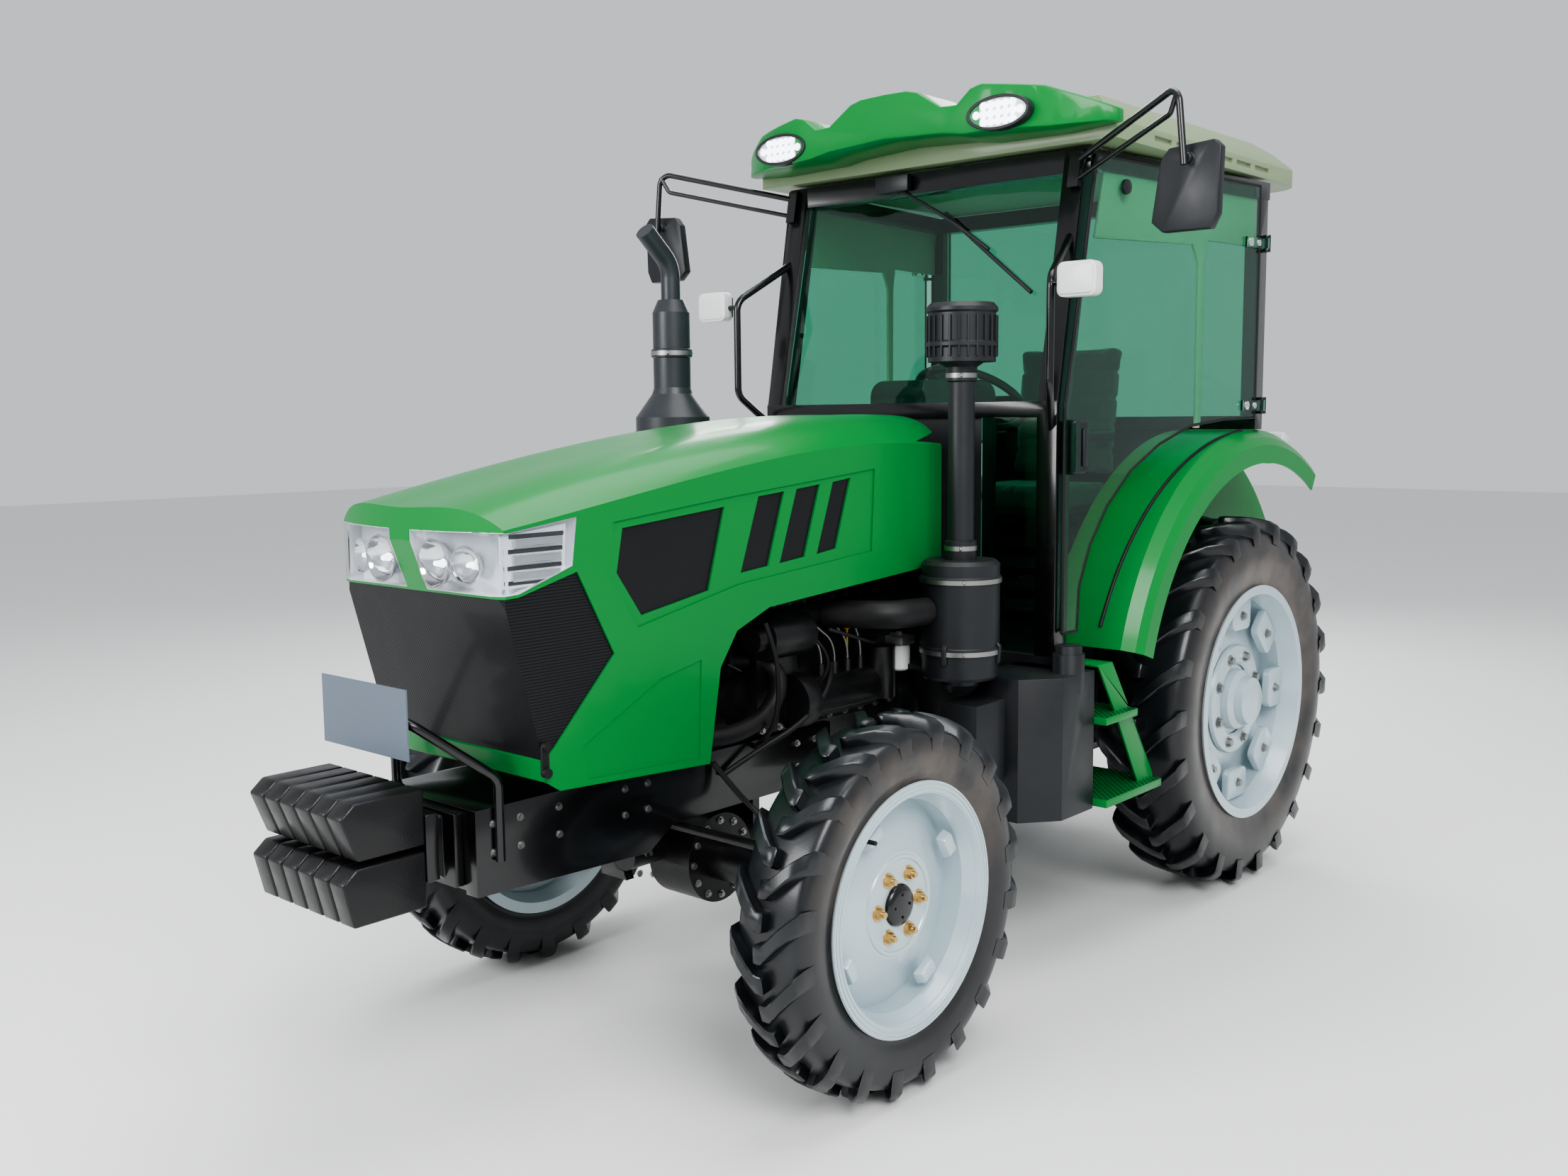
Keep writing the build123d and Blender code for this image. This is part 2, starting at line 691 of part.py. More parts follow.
with BuildPart() as hood:
    add(hood_outer)
    add(hood_inner, mode=Mode.SUBTRACT)
    add(lamp_left, mode=Mode.SUBTRACT)
    add(lamp_right, mode=Mode.SUBTRACT)
    add(grille_cut, mode=Mode.SUBTRACT)
    add(pressed_panel(recess_points, recess_outer), mode=Mode.SUBTRACT)
    add(pressed_backing(recess_points, recess_inner))
    add(pressed_panel(panel_points, panel_outer), mode=Mode.SUBTRACT)
    add(pressed_backing(panel_points, panel_inner))
    for outline in side_outlines:
        add(region(outline), mode=Mode.SUBTRACT)
    for ear in hood_ears:
        add(ear)
finish(hood.part, "hood", "hood")

with BuildPart() as grille:
    add(skin(grille_outer, grille_inner, [region(grille_points, grow=grille_lap)]))
finish(grille.part, "grille", "grille")

with BuildPart() as headlights:
    add(skin(hood_outer, lamp_inner, [lamp_left, lamp_right]))
finish(headlights.part, "headlights", "headlights")

with BuildPart() as side_grilles:
    add(skin(side_grille_outer, side_grille_inner,
             [region(outline, grow=grille_lap) for outline in side_outlines]))
finish(side_grilles.part, "side grilles", "side_grilles")


# Bulkhead at the hood's back, with the shaft that the hood tilts on

bulkhead_x = hood_back_x + 12

with BuildPart() as bulkhead:
    box((bulkhead_x, -290, crank_z + flywheel_radius + seat_gap),
        (bulkhead_x + 6, 290, hinge_z - 35))
    for side in SIDES.values():
        box((bulkhead_x, side * (hinge_y - 20), hinge_z - 80),
            (hinge_x + 16, side * (hinge_y - 12), hinge_z + 16))
    rod((hinge_x, -hinge_y - 12, hinge_z), (hinge_x, hinge_y + 12, hinge_z), hinge_pin)
finish(bulkhead.part, "bulkhead", "bulkhead")


# Air cleaner on the left, with its stack and pre-cleaner, and the hose to the engine

cleaner_x = rear_axle_x + 1475
cleaner_y = 450
cleaner_radius = 123
cleaner_low_z = 950
cleaner_high_z = 1310
stack_radius = 40
precleaner_z = 1900
precleaner_radius = 107


def turned_form(x, y, outline):
    """Upright turned form from an outline of (radius, height) points."""
    with BuildSketch(Plane(origin=(x, y, 0), x_dir=(1, 0, 0), z_dir=(0, -1, 0))) as section:
        with BuildLine():
            Polyline(*outline, close=True)
        make_face()
    revolve(section.sketch, axis=Axis((x, y, 0), (0, 0, 1)))


with BuildPart() as air_cleaner:
    turned_form(cleaner_x, cleaner_y, [
        (0, cleaner_low_z - 45), (42, cleaner_low_z - 45), (60, cleaner_low_z - 20),
        (60, cleaner_low_z), (cleaner_radius - 14, cleaner_low_z),
        (cleaner_radius - 6, cleaner_low_z + 10), (cleaner_radius - 6, cleaner_low_z + 78),
        (cleaner_radius, cleaner_low_z + 82), (cleaner_radius, cleaner_low_z + 98),
        (cleaner_radius - 4, cleaner_low_z + 102), (cleaner_radius - 4, cleaner_high_z - 70),
        (cleaner_radius, cleaner_high_z - 66), (cleaner_radius, cleaner_high_z - 50),
        (cleaner_radius - 4, cleaner_high_z - 46), (cleaner_radius - 4, cleaner_high_z - 12),
        (cleaner_radius - 16, cleaner_high_z), (0, cleaner_high_z),
    ])
    box((cleaner_x - 20, 190, cleaner_low_z + 15), (cleaner_x + 60, cleaner_y, cleaner_low_z + 30))
finish(air_cleaner.part, "air cleaner", "air_cleaner")

with BuildPart() as intake_stack:
    turned_form(cleaner_x, cleaner_y, [
        (0, cleaner_high_z), (stack_radius + 8, cleaner_high_z),
        (stack_radius + 8, cleaner_high_z + 55), (stack_radius, cleaner_high_z + 60),
        (stack_radius, precleaner_z - 60), (stack_radius + 6, precleaner_z - 55),
        (stack_radius + 6, precleaner_z - 15), (70, precleaner_z), (101, precleaner_z),
        (101, precleaner_z + 40), (precleaner_radius, precleaner_z + 46),
        (precleaner_radius, precleaner_z + 56), (101, precleaner_z + 62),
        (101, precleaner_z + 142), (precleaner_radius, precleaner_z + 148),
        (precleaner_radius, precleaner_z + 158), (95, precleaner_z + 172), (0, precleaner_z + 172),
    ])
finish(intake_stack.part, "intake stack", "intake_stack")

with BuildPart() as intake_hose:
    tube([(cleaner_x + 60, cleaner_y - 30, 1160), (cleaner_x + 250, cleaner_y - 70, 1160),
          (cleaner_x + 360, 150, 1160)], 42, 110)
    rod((cleaner_x, cleaner_y, 1000), (cleaner_x, cleaner_y, 1300), cleaner_radius + seat_gap,
        mode=Mode.SUBTRACT)
    box((cleaner_x + 200, 0, 1000), (cleaner_x + 500, manifold_y + manifold_radius + seat_gap, 1340),
        mode=Mode.SUBTRACT)
finish(intake_hose.part, "intake hose", "intake_hose")


# Exhaust on the right: a canister beside the hood and a stack with a bent outlet

exhaust_x = rear_axle_x + 1777
exhaust_y = -475
exhaust_radius = 120
exhaust_low_z = 1240
exhaust_high_z = 1745

with BuildPart() as exhaust:
    turned_form(exhaust_x, exhaust_y, [
        (0, exhaust_low_z), (exhaust_radius - 10, exhaust_low_z),
        (exhaust_radius, exhaust_low_z + 12), (exhaust_radius, exhaust_high_z),
        (66, exhaust_high_z + 75), (60, exhaust_high_z + 95), (60, 1935), (66, 1938),
        (66, 1962), (60, 1965), (60, 2080), (42, 2120), (0, 2120),
    ])
    tube([(exhaust_x, exhaust_y, 2100), (exhaust_x, exhaust_y, 2230),
          (exhaust_x + 110, exhaust_y, 2330)], 31, 90)
    tube([(exhaust_x, exhaust_y, exhaust_low_z + 10), (exhaust_x, exhaust_y, 1160),
          (exhaust_x, 10 - manifold_y - manifold_radius - seat_gap, 1160)], 30, 45)
finish(exhaust.part, "exhaust", "exhaust")


# Cab frame: pillars, rails and the doors' hinge pins

hinge_out = 26
hinge_heights = (1768, 2340)

side_run = cab_front_x - cab_back_x
side_lean = (cab_back_half - cab_front_half) / side_run


def side_y(x):
    """Half width of the cab's glazed side at x."""
    return cab_back_half - side_lean * (x - cab_back_x)


def cab_side_plane(side, outward=0):
    """Plane of the cab's side: local X runs forward from the rear pillar, local Y up."""
    length = sqrt(1 + side_lean ** 2)
    forward = Vector(1 / length, -side * side_lean / length, 0)
    out = Vector(side_lean / length, side / length, 0)
    return Plane(origin=Vector(cab_back_x, side * cab_back_half, 0) + out * outward,
                 x_dir=forward, z_dir=-out * side)


def side_panel(points, side, outward, thickness, mode=Mode.ADD):
    """Sheet in the plane of the cab's side, from outward inwards by its thickness."""
    with BuildSketch(cab_side_plane(side, outward)) as outline:
        with BuildLine():
            Polyline(*points, close=True)
        make_face()
    extrude(outline.sketch, amount=side * thickness, mode=mode)


rear_wall_x = cab_back_x - pillar
front_rail_z = waist_z
fender_top_z = rear_tyre_radius + fender_radius + seat_gap

with BuildPart() as cab_frame:
    for side in SIDES.values():
        side_profile(
            [
                (cab_front_x, cab_floor_z), (cab_front_x, waist_z),
                (cab_top_front_x, roof_rail_z), (cab_top_front_x - 75, roof_rail_z),
                (cab_front_x - 75, waist_z), (cab_front_x - 75, cab_floor_z),
            ],
            side * (cab_front_half - 70), side * cab_front_half,
        )
        box((rear_wall_x, side * (cab_back_half - pillar), fender_top_z),
            (cab_back_x, side * cab_back_half, roof_rail_z))
        side_panel(
            [(-pillar, roof_rail_z - 60), (side_run - 150, roof_rail_z - 60),
             (side_run - 150, roof_rail_z), (-pillar, roof_rail_z)], side, 0, 50)
    box((cab_top_front_x - 75, -cab_front_half, roof_rail_z - 70),
        (cab_top_front_x, cab_front_half, roof_rail_z))
    box((cab_front_x - 60, -cab_front_half, front_rail_z - 30),
        (cab_front_x, cab_front_half, front_rail_z + 20))
    box((rear_wall_x, -cab_back_half, roof_rail_z - 60), (cab_back_x, cab_back_half, roof_rail_z))
    box((rear_wall_x, -cab_back_half, fender_top_z),
        (cab_back_x, cab_back_half, fender_top_z + 50))

    for side in SIDES.values():
        for z in hinge_heights:
            pin = cab_side_plane(side, hinge_out).from_local_coords((0, z, 0))
            with Locations((pin.X, pin.Y, z)):
                Cylinder(6, 60)
            for up in (-1, 1):
                with Locations((pin.X, pin.Y, z + up * 24)):
                    Cylinder(14, 11)
                box((pin.X - 14, side * (cab_back_half - 1), z + up * 18.5),
                    (pin.X + 6, pin.Y, z + up * 29.5))
finish(cab_frame.part, "cab frame", "cab_frame")

with BuildPart() as cab_floor:
    box((rear_wall_x, -fender_inner_y + 1, cab_floor_z - 25),
        (cab_front_x, fender_inner_y - 1, cab_floor_z))
    box((rear_axle_x + fender_radius + 20, -cab_front_half, cab_floor_z - 25),
        (cab_front_x, cab_front_half, cab_floor_z))
    box((rear_wall_x, -fender_inner_y + 1, cab_floor_z),
        (rear_wall_x + 8, fender_inner_y - 1, fender_top_z))
    box((cab_front_x - 30, -310, cab_floor_z), (cab_front_x - 22, 310, front_rail_z - 30))
    for x in (rear_axle_x - 10, cab_front_x - 160):
        for side in SIDES.values():
            with Locations((x, side * 150, cab_floor_z - 40)):
                Cylinder(35, 30)
finish(cab_floor.part, "cab floor", "cab_floor")

with BuildPart() as windscreen:
    side_profile(
        [(cab_front_x - 20, front_rail_z + 20.3), (cab_front_x - 20 - glass, front_rail_z + 20.3),
         (cab_top_front_x - 20 - glass, roof_rail_z - 70.3),
         (cab_top_front_x - 20, roof_rail_z - 70.3)],
        -cab_front_half + 70.3, cab_front_half - 70.3)
    for side in SIDES.values():
        box((cab_front_x - 29, side * 310.3, cab_floor_z + 0.3),
            (cab_front_x - 29 + glass, side * (cab_front_half - 70.3), front_rail_z - 30.3))
finish(windscreen.part, "windscreen and lower front windows", "windscreen")

with BuildPart() as rear_window:
    box((rear_wall_x + 20, -cab_back_half + pillar + 0.3, fender_top_z + 50.3),
        (rear_wall_x + 20 + glass, cab_back_half - pillar - 0.3, roof_rail_z - 60.3))
finish(rear_window.part, "rear window", "rear_window")

with BuildPart() as cab_lining:
    side_profile(
        [(cab_top_front_x - 80, roof_rail_z + 0.3), (cab_back_x + 5, roof_rail_z + 0.3),
         (cab_back_x + 5, roof_rail_z + 12), (cab_top_front_x - 80, roof_rail_z + 12)],
        -600, 600)
    for side in SIDES.values():
        side_panel([(10, 2330), (330, 2330), (345, 2250), (350, fender_top_z + 10),
                    (380, fender_top_z + 10), (385, 2250), (420, 2310),
                    (side_run - 195, 2290), (side_run - 240, roof_rail_z - 60.3),
                    (10, roof_rail_z - 60.3)], side, -12, 12)
finish(cab_lining.part, "cab lining", "cab_lining")


# Roof cap and the green visor over the windscreen

roof_low_z = roof_rail_z + 12.3
roof_edge_z = roof_low_z + 55
roof_vent_z = roof_low_z + 22
with BuildPart() as roof:
    side_profile(
        [
            (rear_axle_x + 1060, roof_low_z), (rear_axle_x + 1060, 2705),
            (rear_axle_x + 560, roof_top_z), (rear_axle_x + 130, roof_top_z),
            (rear_axle_x - 180, 2680), (rear_axle_x - 370, 2590), (rear_axle_x - 370, roof_low_z),
        ],
        -roof_half_width, roof_half_width)
    # Sloping sides under a crowned top
    with BuildSketch(front_plane(rear_axle_x - 400)) as arch:
        with BuildLine():
            Polyline((-roof_half_width + 60, roof_top_z - 30), (-roof_half_width, roof_edge_z),
                     (-roof_half_width, roof_low_z - 1), (roof_half_width, roof_low_z - 1),
                     (roof_half_width, roof_edge_z), (roof_half_width - 60, roof_top_z - 30))
            ThreePointArc((roof_half_width - 60, roof_top_z - 30), (0, roof_top_z + 5),
                          (-roof_half_width + 60, roof_top_z - 30))
        make_face()
    extrude(arch.sketch, amount=1500, mode=Mode.INTERSECT)
    # Rounded rear corners
    with BuildSketch(Plane.XY.offset(roof_low_z - 1)) as plan:
        with BuildLine():
            FilletPolyline((rear_axle_x + 1061, -roof_half_width - 1),
                           (rear_axle_x - 370, -roof_half_width - 1),
                           (rear_axle_x - 370, roof_half_width + 1),
                           (rear_axle_x + 1061, roof_half_width + 1), radius=130)
            Line((rear_axle_x + 1061, roof_half_width + 1), (rear_axle_x + 1061, -roof_half_width - 1))
        make_face()
    extrude(plan.sketch, amount=300, mode=Mode.INTERSECT)
    # Air slots under the roof's edge on both sides
    for side in SIDES.values():
        for x in range(6):
            slot_x = rear_axle_x - 60 + x * 150
            box((slot_x, side * (roof_half_width - 12), roof_vent_z),
                (slot_x + 120, side * (roof_half_width + 1), roof_vent_z + 16),
                mode=Mode.SUBTRACT)
finish(roof.part, "roof", "roof")

visor_points = [
    (0, 2770), (90, 2768), (135, 2757), (225, 2700), (285, 2697), (335, 2738), (375, 2748),
    (570, 2722), (680, 2680), (748, 2650), (748, 2612), (580, 2600), (310, 2605),
    (230, 2618), (0, 2630),
]
visor_back_x = rear_axle_x + 1060.3
visor_front_x = rear_axle_x + 1275
with BuildPart() as visor:
    with BuildSketch(front_plane(visor_back_x)):
        with BuildLine():
            Polyline(*visor_points, *[(-y, z) for y, z in reversed(visor_points[1:-1])],
                     close=True)
        make_face()
    extrude(amount=visor_front_x - visor_back_x)
    with BuildSketch(Plane.XY.offset(2400)):
        with BuildLine():
            Polyline((visor_back_x + 20, 760), (visor_back_x - 5, 760), (visor_back_x - 5, -760),
                     (visor_back_x + 20, -760))
            Spline((visor_back_x + 20, -760), (visor_front_x - 45, -560), (visor_front_x, 0),
                   (visor_front_x - 45, 560), (visor_back_x + 20, 760))
        make_face()
    extrude(amount=500, mode=Mode.INTERSECT)
finish(visor.part, "visor", "visor")

with BuildPart() as work_lamps:
    for side in SIDES.values():
        with BuildSketch(front_plane(visor_front_x + 8)):
            with Locations((side * 440, 2652)):
                Ellipse(112, 52)
        extrude(amount=-40)
    add(visor.part, mode=Mode.SUBTRACT)
finish(work_lamps.part, "work lamps", "work_lamps")


# Doors: one glass sheet each, hung at the rear pillar

door_gap = 8
door_front = side_run - 20
door_points = [
    (door_front - 150, roof_rail_z - 20), (door_front, waist_z), (door_front, 1060),
    (1085, 1060), (1075, 1200), (1020, 1330), (930, 1450), (800, 1560), (640, 1640),
    (450, 1700), (240, 1720), (30, 1725), (30, roof_rail_z - 20),
]
for word, side in SIDES.items():
    with BuildPart() as door:
        side_panel(door_points, side, door_gap + glass, glass)
        for z in hinge_heights:
            with BuildSketch(cab_side_plane(side, door_gap + glass + 0.0)) as arm:
                with Locations((65, z)):
                    Rectangle(120, 36)
            extrude(arm.sketch, amount=-side * 10)
            pin = cab_side_plane(side, hinge_out).from_local_coords((0, z, 0))
            with Locations((pin.X, pin.Y, z)):
                Cylinder(14, 36)
                Cylinder(6.05, 40, mode=Mode.SUBTRACT)
        with BuildSketch(cab_side_plane(side, door_gap + glass)) as handle:
            with Locations((door_front - 45, 1640)):
                Rectangle(60, 150)
        extrude(handle.sketch, amount=-side * 30)
    finish(door.part, f"{word} door", f"{word}_door")

# Fenders

fender_centre = (rear_axle_x, 0, rear_tyre_radius)


def fender_plane(angle, side):
    """Radial section plane at an angle up from the front: X outboard, Y away from the axle."""
    up = radians(angle)
    return Plane(origin=fender_centre, x_dir=(0, side, 0),
                 z_dir=(side * sin(up), 0, -side * cos(up)))


for word, side in SIDES.items():
    with BuildPart() as fender:
        with BuildSketch(fender_plane(fender_front_angle, side)):
            with BuildLine():
                Polyline(
                    (fender_inner_y, fender_radius - fender_sheet),
                    (705, fender_radius - fender_sheet),
                    (742, 968 - fender_sheet),
                    (fender_outer_y - fender_sheet, 940),
                    (fender_outer_y - fender_sheet, 880),
                    (fender_outer_y, 880),
                    (fender_outer_y, 945),
                    (746, 972),
                    (708, fender_radius),
                    (fender_inner_y, fender_radius),
                    close=True,
                )
            make_face()
        revolve(axis=Axis(fender_centre, (0, -1, 0)),
                revolution_arc=fender_back_angle - fender_front_angle)
        with BuildSketch(side_plane(side * (fender_inner_y + fender_sheet))):
            with Locations((rear_axle_x, rear_tyre_radius)):
                Circle(fender_radius - 1)
            with Locations((rear_axle_x, cab_floor_z - 1000)):
                Rectangle(4000, 2000, mode=Mode.SUBTRACT)
        extrude(amount=side * fender_sheet)
    finish(fender.part, f"{word} fender", f"{word}_fender")


# Fuel tank on the left, battery box on the right

def side_box(points, low, high, side, mode=Mode.ADD):
    """Prism with a plan outline given for the left side."""
    with BuildSketch(Plane.XY.offset(low)) as plan:
        with BuildLine():
            Polyline(*[(x, side * y) for x, y in points], close=True)
        make_face()
    extrude(plan.sketch, amount=high - low, mode=mode)


tank_back_x = rear_axle_x + 1098
tank_low_z = 500
tank_high_z = 945
tank_outer_y = 700

with BuildPart() as fuel_tank:
    side_box([(tank_back_x, 430), (tank_back_x, tank_outer_y), (tank_back_x + 190, tank_outer_y),
              (tank_back_x + 300, 610), (tank_back_x + 300, 430)], tank_low_z, tank_high_z, 1)
    side_box([(tank_back_x + 300, 430), (tank_back_x + 300, 560), (tank_back_x + 450, 560),
              (tank_back_x + 450, 430)], tank_low_z + 130, tank_high_z - 65, 1)
    rod((tank_back_x + 85, 655, tank_high_z - 60), (tank_back_x + 85, 655, tank_high_z + 60), 50)
    rod((tank_back_x + 85, 655, tank_high_z + 60), (tank_back_x + 85, 655, tank_high_z + 85), 42)
finish(fuel_tank.part, "fuel tank", "fuel_tank")

with BuildPart() as battery_box:
    side_box([(tank_back_x, 430), (tank_back_x, 660), (tank_back_x + 420, 660),
              (tank_back_x + 420, 430)], 560, 850, -1)
    side_box([(tank_back_x - 4, 426), (tank_back_x - 4, 666), (tank_back_x + 426, 666),
              (tank_back_x + 426, 426)], 850, 880, -1)
finish(battery_box.part, "battery box", "battery_box")

with BuildPart() as side_brackets:
    for side in SIDES.values():
        for x in (tank_back_x + 40, tank_back_x + 230):
            box((x, side * 210.3, 600), (x + 50, side * 429.7, 640))
finish(side_brackets.part, "side brackets", "side_brackets")

# Steps under both doors

with BuildPart() as steps:
    for side in SIDES.values():
        for y in (470, 700):
            side_profile(
                [
                    (rear_axle_x + 1090, 959.7), (rear_axle_x + 1000, 959.7),
                    (rear_axle_x + 880, 790), (rear_axle_x + 710, 540), (rear_axle_x + 720, 505),
                    (rear_axle_x + 800, 505), (rear_axle_x + 965, 775),
                ],
                side * y, side * (y + 8))
        box((rear_axle_x + 1000, side * 470, 952), (rear_axle_x + 1090, side * 708, 959.7))
        box((rear_axle_x + 885, side * 470, 770), (rear_axle_x + 1090, side * 740, 795))
        box((rear_axle_x + 720, side * 470, 505), (rear_axle_x + 1090, side * 745, 532))
finish(steps.part, "steps", "steps")


# Mirrors, grab rails and lamps



def pillar_front(z):
    """The front face of the A-pillar at height z."""
    share = max(0, z - waist_z) / (roof_rail_z - waist_z)
    return cab_front_x + (cab_top_front_x - cab_front_x) * share


def clear_pillar(side):
    """Cut away what reaches into the A-pillar."""
    side_profile(
        [
            (cab_front_x + seat_gap, cab_floor_z), (cab_front_x + seat_gap, waist_z),
            (cab_top_front_x + seat_gap, roof_rail_z), (cab_top_front_x - 200, roof_rail_z),
            (cab_front_x - 200, waist_z), (cab_front_x - 200, cab_floor_z),
        ],
        side * (cab_front_half - 100), side * (cab_front_half + 100), mode=Mode.SUBTRACT,
    )


with BuildPart() as mirror_arms:
    for side in SIDES.values():
        tube([(pillar_front(2520), side * 575, 2520),
              (cab_top_front_x + 250, side * 1030, 2640),
              (cab_top_front_x + 250, side * 1052, 2425)], 10, 40)
        tube([(pillar_front(2460), side * 575, 2460),
              (cab_top_front_x + 235, side * 1000, 2570),
              (cab_top_front_x + 250, side * 1028, 2625)], 8, 20)
        side_profile([(pillar_front(2440), 2440), (pillar_front(2440) + 20, 2440),
                      (pillar_front(2550) + 20, 2550), (pillar_front(2550), 2550)],
                     side * 560, side * 598)
        clear_pillar(side)
finish(mirror_arms.part, "mirror arms", "mirror_arms")

with BuildPart() as mirror_heads:
    for side in SIDES.values():
        with BuildSketch(front_plane(cab_top_front_x + 220)) as head:
            with BuildLine():
                Polyline(*[(side * y, z) for y, z in
                           ((975, 2250), (940, 2280), (965, 2450), (990, 2480),
                            (1125, 2490), (1145, 2470), (1140, 2290), (1120, 2250))], close=True)
            make_face()
        extrude(head.sketch, amount=-32)
        rod((cab_top_front_x + 220, side * 1052, 2445),
            (cab_top_front_x + 240 - seat_gap, side * 1052, 2445), 14)
finish(mirror_heads.part, "mirror heads", "mirror_heads")

with BuildPart() as grab_rails:
    for side in SIDES.values():
        tube([(pillar_front(2290) - 10, side * 575, 2290),
              (cab_front_x + 110, side * 640, 2150),
              (cab_front_x + 110, side * 640, 1820),
              (cab_front_x - 10, side * 575, 1700)], 12.5, 60)
        rod((cab_front_x + 110, side * 640, 2130), (cab_front_x + 110, side * 690, 2130), 9)
        clear_pillar(side)
finish(grab_rails.part, "grab rails", "grab_rails")

with BuildPart() as marker_lamps:
    for side in SIDES.values():
        box((cab_front_x + 90, side * (690 + seat_gap), 2095),
            (cab_front_x + 140, side * 790, 2180))
        lamp_plane = fender_plane(fender_back_angle - 8, side)
        foot = Vector(fender_centre) + lamp_plane.y_dir * (fender_radius + seat_gap)
        with BuildSketch(Plane(origin=(foot.X, side * 620, foot.Z), x_dir=(0, 1, 0),
                               z_dir=lamp_plane.y_dir)):
            Rectangle(120, 60)
        extrude(amount=55)
finish(marker_lamps.part, "marker lamps", "marker_lamps")


# Seat, dash and steering wheel

seat_x = rear_axle_x + 330
with BuildPart() as seat:
    box((seat_x - 150, -170, cab_floor_z), (seat_x + 150, 170, 1380))
    box((seat_x - 240, -250, 1380), (seat_x + 260, 250, 1480))
    side_profile([(seat_x - 240, 1480), (seat_x - 130, 1480), (seat_x - 200, 2020),
                  (seat_x - 280, 2020)], -230, 230)
finish(seat.part, "driver's chair", "seat")

wheel_lean = 32
wheel_centre = Vector(rear_axle_x + 760, 0, 1800)
wheel_axis = Vector(-sin(radians(wheel_lean)), 0, cos(radians(wheel_lean)))
with BuildPart() as dash:
    side_profile([(cab_front_x - 80, cab_floor_z), (cab_front_x - 80, 1700),
                  (rear_axle_x + 1080, 1835), (rear_axle_x + 960, 1835),
                  (rear_axle_x + 880, 1700), (rear_axle_x + 900, cab_floor_z)], -190, 190)
    foot = wheel_centre - wheel_axis * 300
    rod(tuple(foot), tuple(wheel_centre - wheel_axis * 40), 32)
finish(dash.part, "dash", "dash")

with BuildPart() as steering_wheel:
    hub_plane = Plane(origin=wheel_centre, x_dir=(0, 1, 0), z_dir=wheel_axis)
    with BuildSketch(Plane(origin=wheel_centre, x_dir=(0, 1, 0),
                           z_dir=wheel_axis.cross(Vector(0, 1, 0)))) as ring:
        with Locations((195, 0)):
            Circle(14)
    revolve(ring.sketch, axis=Axis(wheel_centre, wheel_axis))
    with BuildSketch(hub_plane) as spokes:
        Circle(52)
        for angle in (0, 120, 240):
            with Locations(Rot(0, 0, angle) * Location((95, 0))):
                Rectangle(195, 30)
    extrude(spokes.sketch, amount=-8)
    rod(tuple(wheel_centre - wheel_axis * (40 - seat_gap)), tuple(wheel_centre), 24)
finish(steering_wheel.part, "steering wheel", "steering_wheel")


# Rear linkage: lift arms on one shaft, lower links and lift rods

link_pivot = Vector(rear_axle_x - 200, 230, 440)
link_end = Vector(rear_axle_x - 912, 390, 560)
rod_share = 0.553
link_pin = link_pivot + (link_end - link_pivot) * rod_share
lift_pivot_z = 1020
lift_rod_length = lift_pivot_z - link_pivot.Z
arm_pin = Vector(link_pin.X, link_pin.Y, link_pin.Z + lift_rod_length)
pin_r = 12
bar_end = link_end - (link_end - link_pivot).normalized() * 26  # within the eye's ring

with BuildPart() as lift_arms:
    across(link_pivot.X, lift_pivot_z, -link_pin.Y - 12, link_pin.Y + 12, 32)
    for side in SIDES.values():
        y_in = side * (link_pin.Y - 12)
        y_out = side * (link_pin.Y + 12)
        across(link_pivot.X, lift_pivot_z, y_in, y_out, 52)
        across(arm_pin.X, arm_pin.Z, y_in, y_out, 30)
        side_profile([(link_pivot.X - 10, lift_pivot_z + 48), (arm_pin.X + 5, arm_pin.Z + 29),
                      (arm_pin.X - 5, arm_pin.Z - 29), (link_pivot.X, lift_pivot_z - 50)],
                     y_in, y_out)
        across(arm_pin.X, arm_pin.Z, y_in, side * (link_pin.Y - 50), pin_r)
finish(lift_arms.part, "lift arms", "lift_arms")

for word, side in SIDES.items():
    with BuildPart() as lower_link:
        rod((link_pivot.X, side * link_pivot.Y, link_pivot.Z),
            (bar_end.X, side * bar_end.Y, bar_end.Z), 17)
        across(link_pivot.X, link_pivot.Z, side * 215, side * 245, 36)
        across(link_end.X, link_end.Z, side * (link_end.Y - 18), side * (link_end.Y + 18), 38)
        across(link_pin.X, link_pin.Z, side * (link_pin.Y - 50), side * link_pin.Y, pin_r)
        across(link_pivot.X, link_pivot.Z, side * 200, side * 260, 14.05, mode=Mode.SUBTRACT)
        across(link_end.X, link_end.Z, side * (link_end.Y - 40), side * (link_end.Y + 40), 14.35,
               mode=Mode.SUBTRACT)
    finish(lower_link.part, f"{word} lower link", f"{word}_lower_link")
    with BuildPart() as lift_rod:
        for z in (arm_pin.Z, link_pin.Z):
            across(link_pin.X, z, side * (link_pin.Y - 45), side * (link_pin.Y - 28), 26)
        rod((link_pin.X, side * (link_pin.Y - 36.5), link_pin.Z + 15),
            (link_pin.X, side * (link_pin.Y - 36.5), arm_pin.Z - 15), 8.4)
        for z, bore in ((arm_pin.Z, pin_r + 0.05), (link_pin.Z, pin_r + 0.5)):
            across(link_pin.X, z, side * (link_pin.Y - 60), side * link_pin.Y, bore,
                   mode=Mode.SUBTRACT)
    finish(lift_rod.part, f"{word} lift rod", f"{word}_lift_rod")

with BuildPart() as drawbar:
    box((rear_axle_x - 560, -40, 380), (rear_axle_x - 60, 40, 410))
    with Locations((rear_axle_x - 520, 0, 395)):
        Cylinder(16.5, 60, mode=Mode.SUBTRACT)
    for x in (rear_axle_x - 250, rear_axle_x - 110):
        box((x, -55, 410), (x + 30, 55, 500))
finish(drawbar.part, "drawbar", "drawbar")
